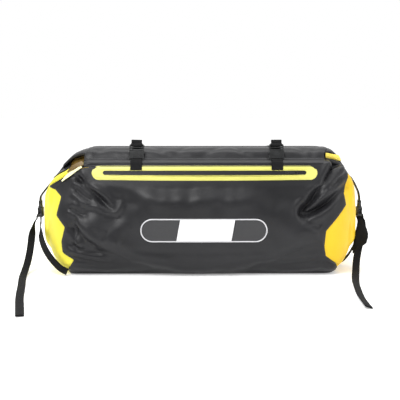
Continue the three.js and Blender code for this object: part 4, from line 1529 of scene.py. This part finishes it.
def roof(x):
    """The underside of the roll and, past its ends, of the wings."""
    side_name = "left" if x < 0 else "right"
    rows = np.array(WING[side_name], float) * MM
    wing = np.interp(abs(x), rows[:, 0], rows[:, 1] - rows[:, 3] / 2)
    share = smooth_step(abs(x), 0.288, 0.302)
    return (roll_top(x) - 2 * roll_half_height(x)) * (1 - share) + wing * share


def add_gusset(name, span, where, back_from, back_to, material, folds, paler_low_edge=0.0):
    """Fabric tucked between the trunk's shoulder and the end of the roll, pleated."""
    levels, columns = 26, 70
    vertices, rim = [], []
    for t in np.linspace(0, 1, levels):
        for k, x in enumerate(np.linspace(*span, columns)):
            low_y, low_z = shoulder(x, where)
            high_y = back_from + (back_to - back_from) * k / (columns - 1)
            high_z = max(roof(x) + 0.003, low_z + 0.0015)
            bend = math.sin(math.pi * t)
            pleat = math.sin(folds * math.pi * k / (columns - 1) + 2.2 * t)
            inward = -1 if where == "back" else 1
            y = low_y + (high_y - low_y) * t + inward * bend * (0.005 + 0.0035 * pleat)
            z = low_z + 0.0022 + (high_z - low_z) * t ** 1.4
            vertices.append((x, y, z))
            rim.append(paler_low_edge * math.exp(-(t / 0.09) ** 2))
    piece = add_piece(name, vertices, grid_faces(levels, columns), material, None, rim=rim)
    thicken(piece, 1.0 * MM, 0)
    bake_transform(piece)


# The upper left corner's pale edge and, above it, a strip of painted shade (the yellow end fabric in the roll's
# shadow, coloured dark brown): (x, z) in metres, width, narrow end's share, where along it the full width is
# reached, thickness and how far it stands off the trunk, in millimetres.
CORNER_EDGES = (
    ("left_corner_piping", PIPING, 8, 0.45, 0.35, 1.6, 2.6,
     [(-0.2985, 0.2030), (-0.2900, 0.2110), (-0.2790, 0.2195), (-0.2670, 0.2285), (-0.2555, 0.2360)]),
    ("left_corner_painted_shade", PAINTED_SHADE_YELLOW, 11, 0.3, 0.4, 1.0, 0.6,
     [(-0.2860, 0.2225), (-0.2790, 0.2285), (-0.2700, 0.2345), (-0.2600, 0.2395), (-0.2520, 0.2425)]),
)


def add_corner_edges():
    """Both follow the same smooth depth, taken from the front of the trunk along the pale edge."""
    edge = spline(CORNER_EDGES[0][-1], 40)
    depth = np.polyfit(edge[:, 0], [FRONT_AT(x, z) for x, z in edge], 2)
    for name, material, full, narrow, widest, thickness, lift, points in CORNER_EDGES:
        line = np.array([(x, np.polyval(depth, x) - lift * MM, z) for x, z in spline(points, 40)])
        width = full * MM * (narrow + (1 - narrow) * smooth_step(np.linspace(0, 1, 40), 0, widest))
        add_strip(name, line, (-0.5, 0.45, 0.7), width, thickness * MM, "trunk", material=material)


def add_corner_tab():
    """The yellow lining that shows at the right end of the roll, with a black fold below it."""
    for name, low, high, push, material, slot in (
        ("right_corner_lining", 0.2500, 0.2625, 0.0, PIPING_GOLD, "yellow_tarpaulin"),
        ("right_corner_fold", 0.2375, 0.2510, -0.004, BLACK, "tarpaulin"),
    ):
        vertices = []
        for t in np.linspace(0, 1, 12):
            for u in np.linspace(0, 1, 24):
                x = 0.274 + 0.037 * u - 0.006 * t * u
                z = low - 0.001 + (high - low) * t - 0.006 * u * u - 0.0015 * math.sin(3 * u)
                wave = 0.0015 * math.sin(5 * u + 2 * t) - 0.003 * math.sin(math.pi * t)
                vertices.append((x, -0.0790 + push + 0.014 * u * u + wave, z))
        fold = add_piece(name, vertices, grid_faces(12, 24), material, "closure")
        thicken(fold, 1.4 * MM, 0)


def add_strap_fold():
    """The lower strap's spare width, folded forwards below the right socket."""
    route = [(357, -47, 117), (359.5, -55, 107), (360, -63, 94), (358.5, -70, 78), (356, -75, 62),
             (354, -78, 49)]
    line = spline(np.array(route, float) * MM, 50)
    share = np.linspace(0, 1, 50)
    width = np.interp(share, [0, 0.2, 0.85, 1], [13, 15, 42, 40]) * MM
    across = np.stack([1 + 0 * share, -0.3 + 0 * share, 0.9 * smooth_step(share, 0.3, 1)], 1)
    add_strip("right_strap_fold", line, across, width, 3.2 * MM, "trunk", square=False)


# The left front gusset is painted in shade: yellow fabric in the roll's shadow, coloured dark brown, and paler
# at its low edge where the painted shade fades.
add_gusset("left_front_gusset_painted_shade", (-0.290, -0.240), "facet", -0.052, -0.066, PAINTED_SHADE_YELLOW, 3, 1.0)
add_gusset("left_shoulder_gusset", (-0.322, -0.285), "front", -0.040, -0.052, BLACK, 2)
add_gusset("right_front_gusset", (0.252, 0.322), "front", -0.064, -0.044, BLACK, 3)
add_gusset("left_back_gusset", (-0.318, -0.236), "back", 0.010, 0.028, BLACK, 3)
add_gusset("right_back_gusset", (0.250, 0.322), "back", 0.028, 0.010, BLACK, 3)
add_corner_edges()
add_corner_tab()
add_strap_fold()
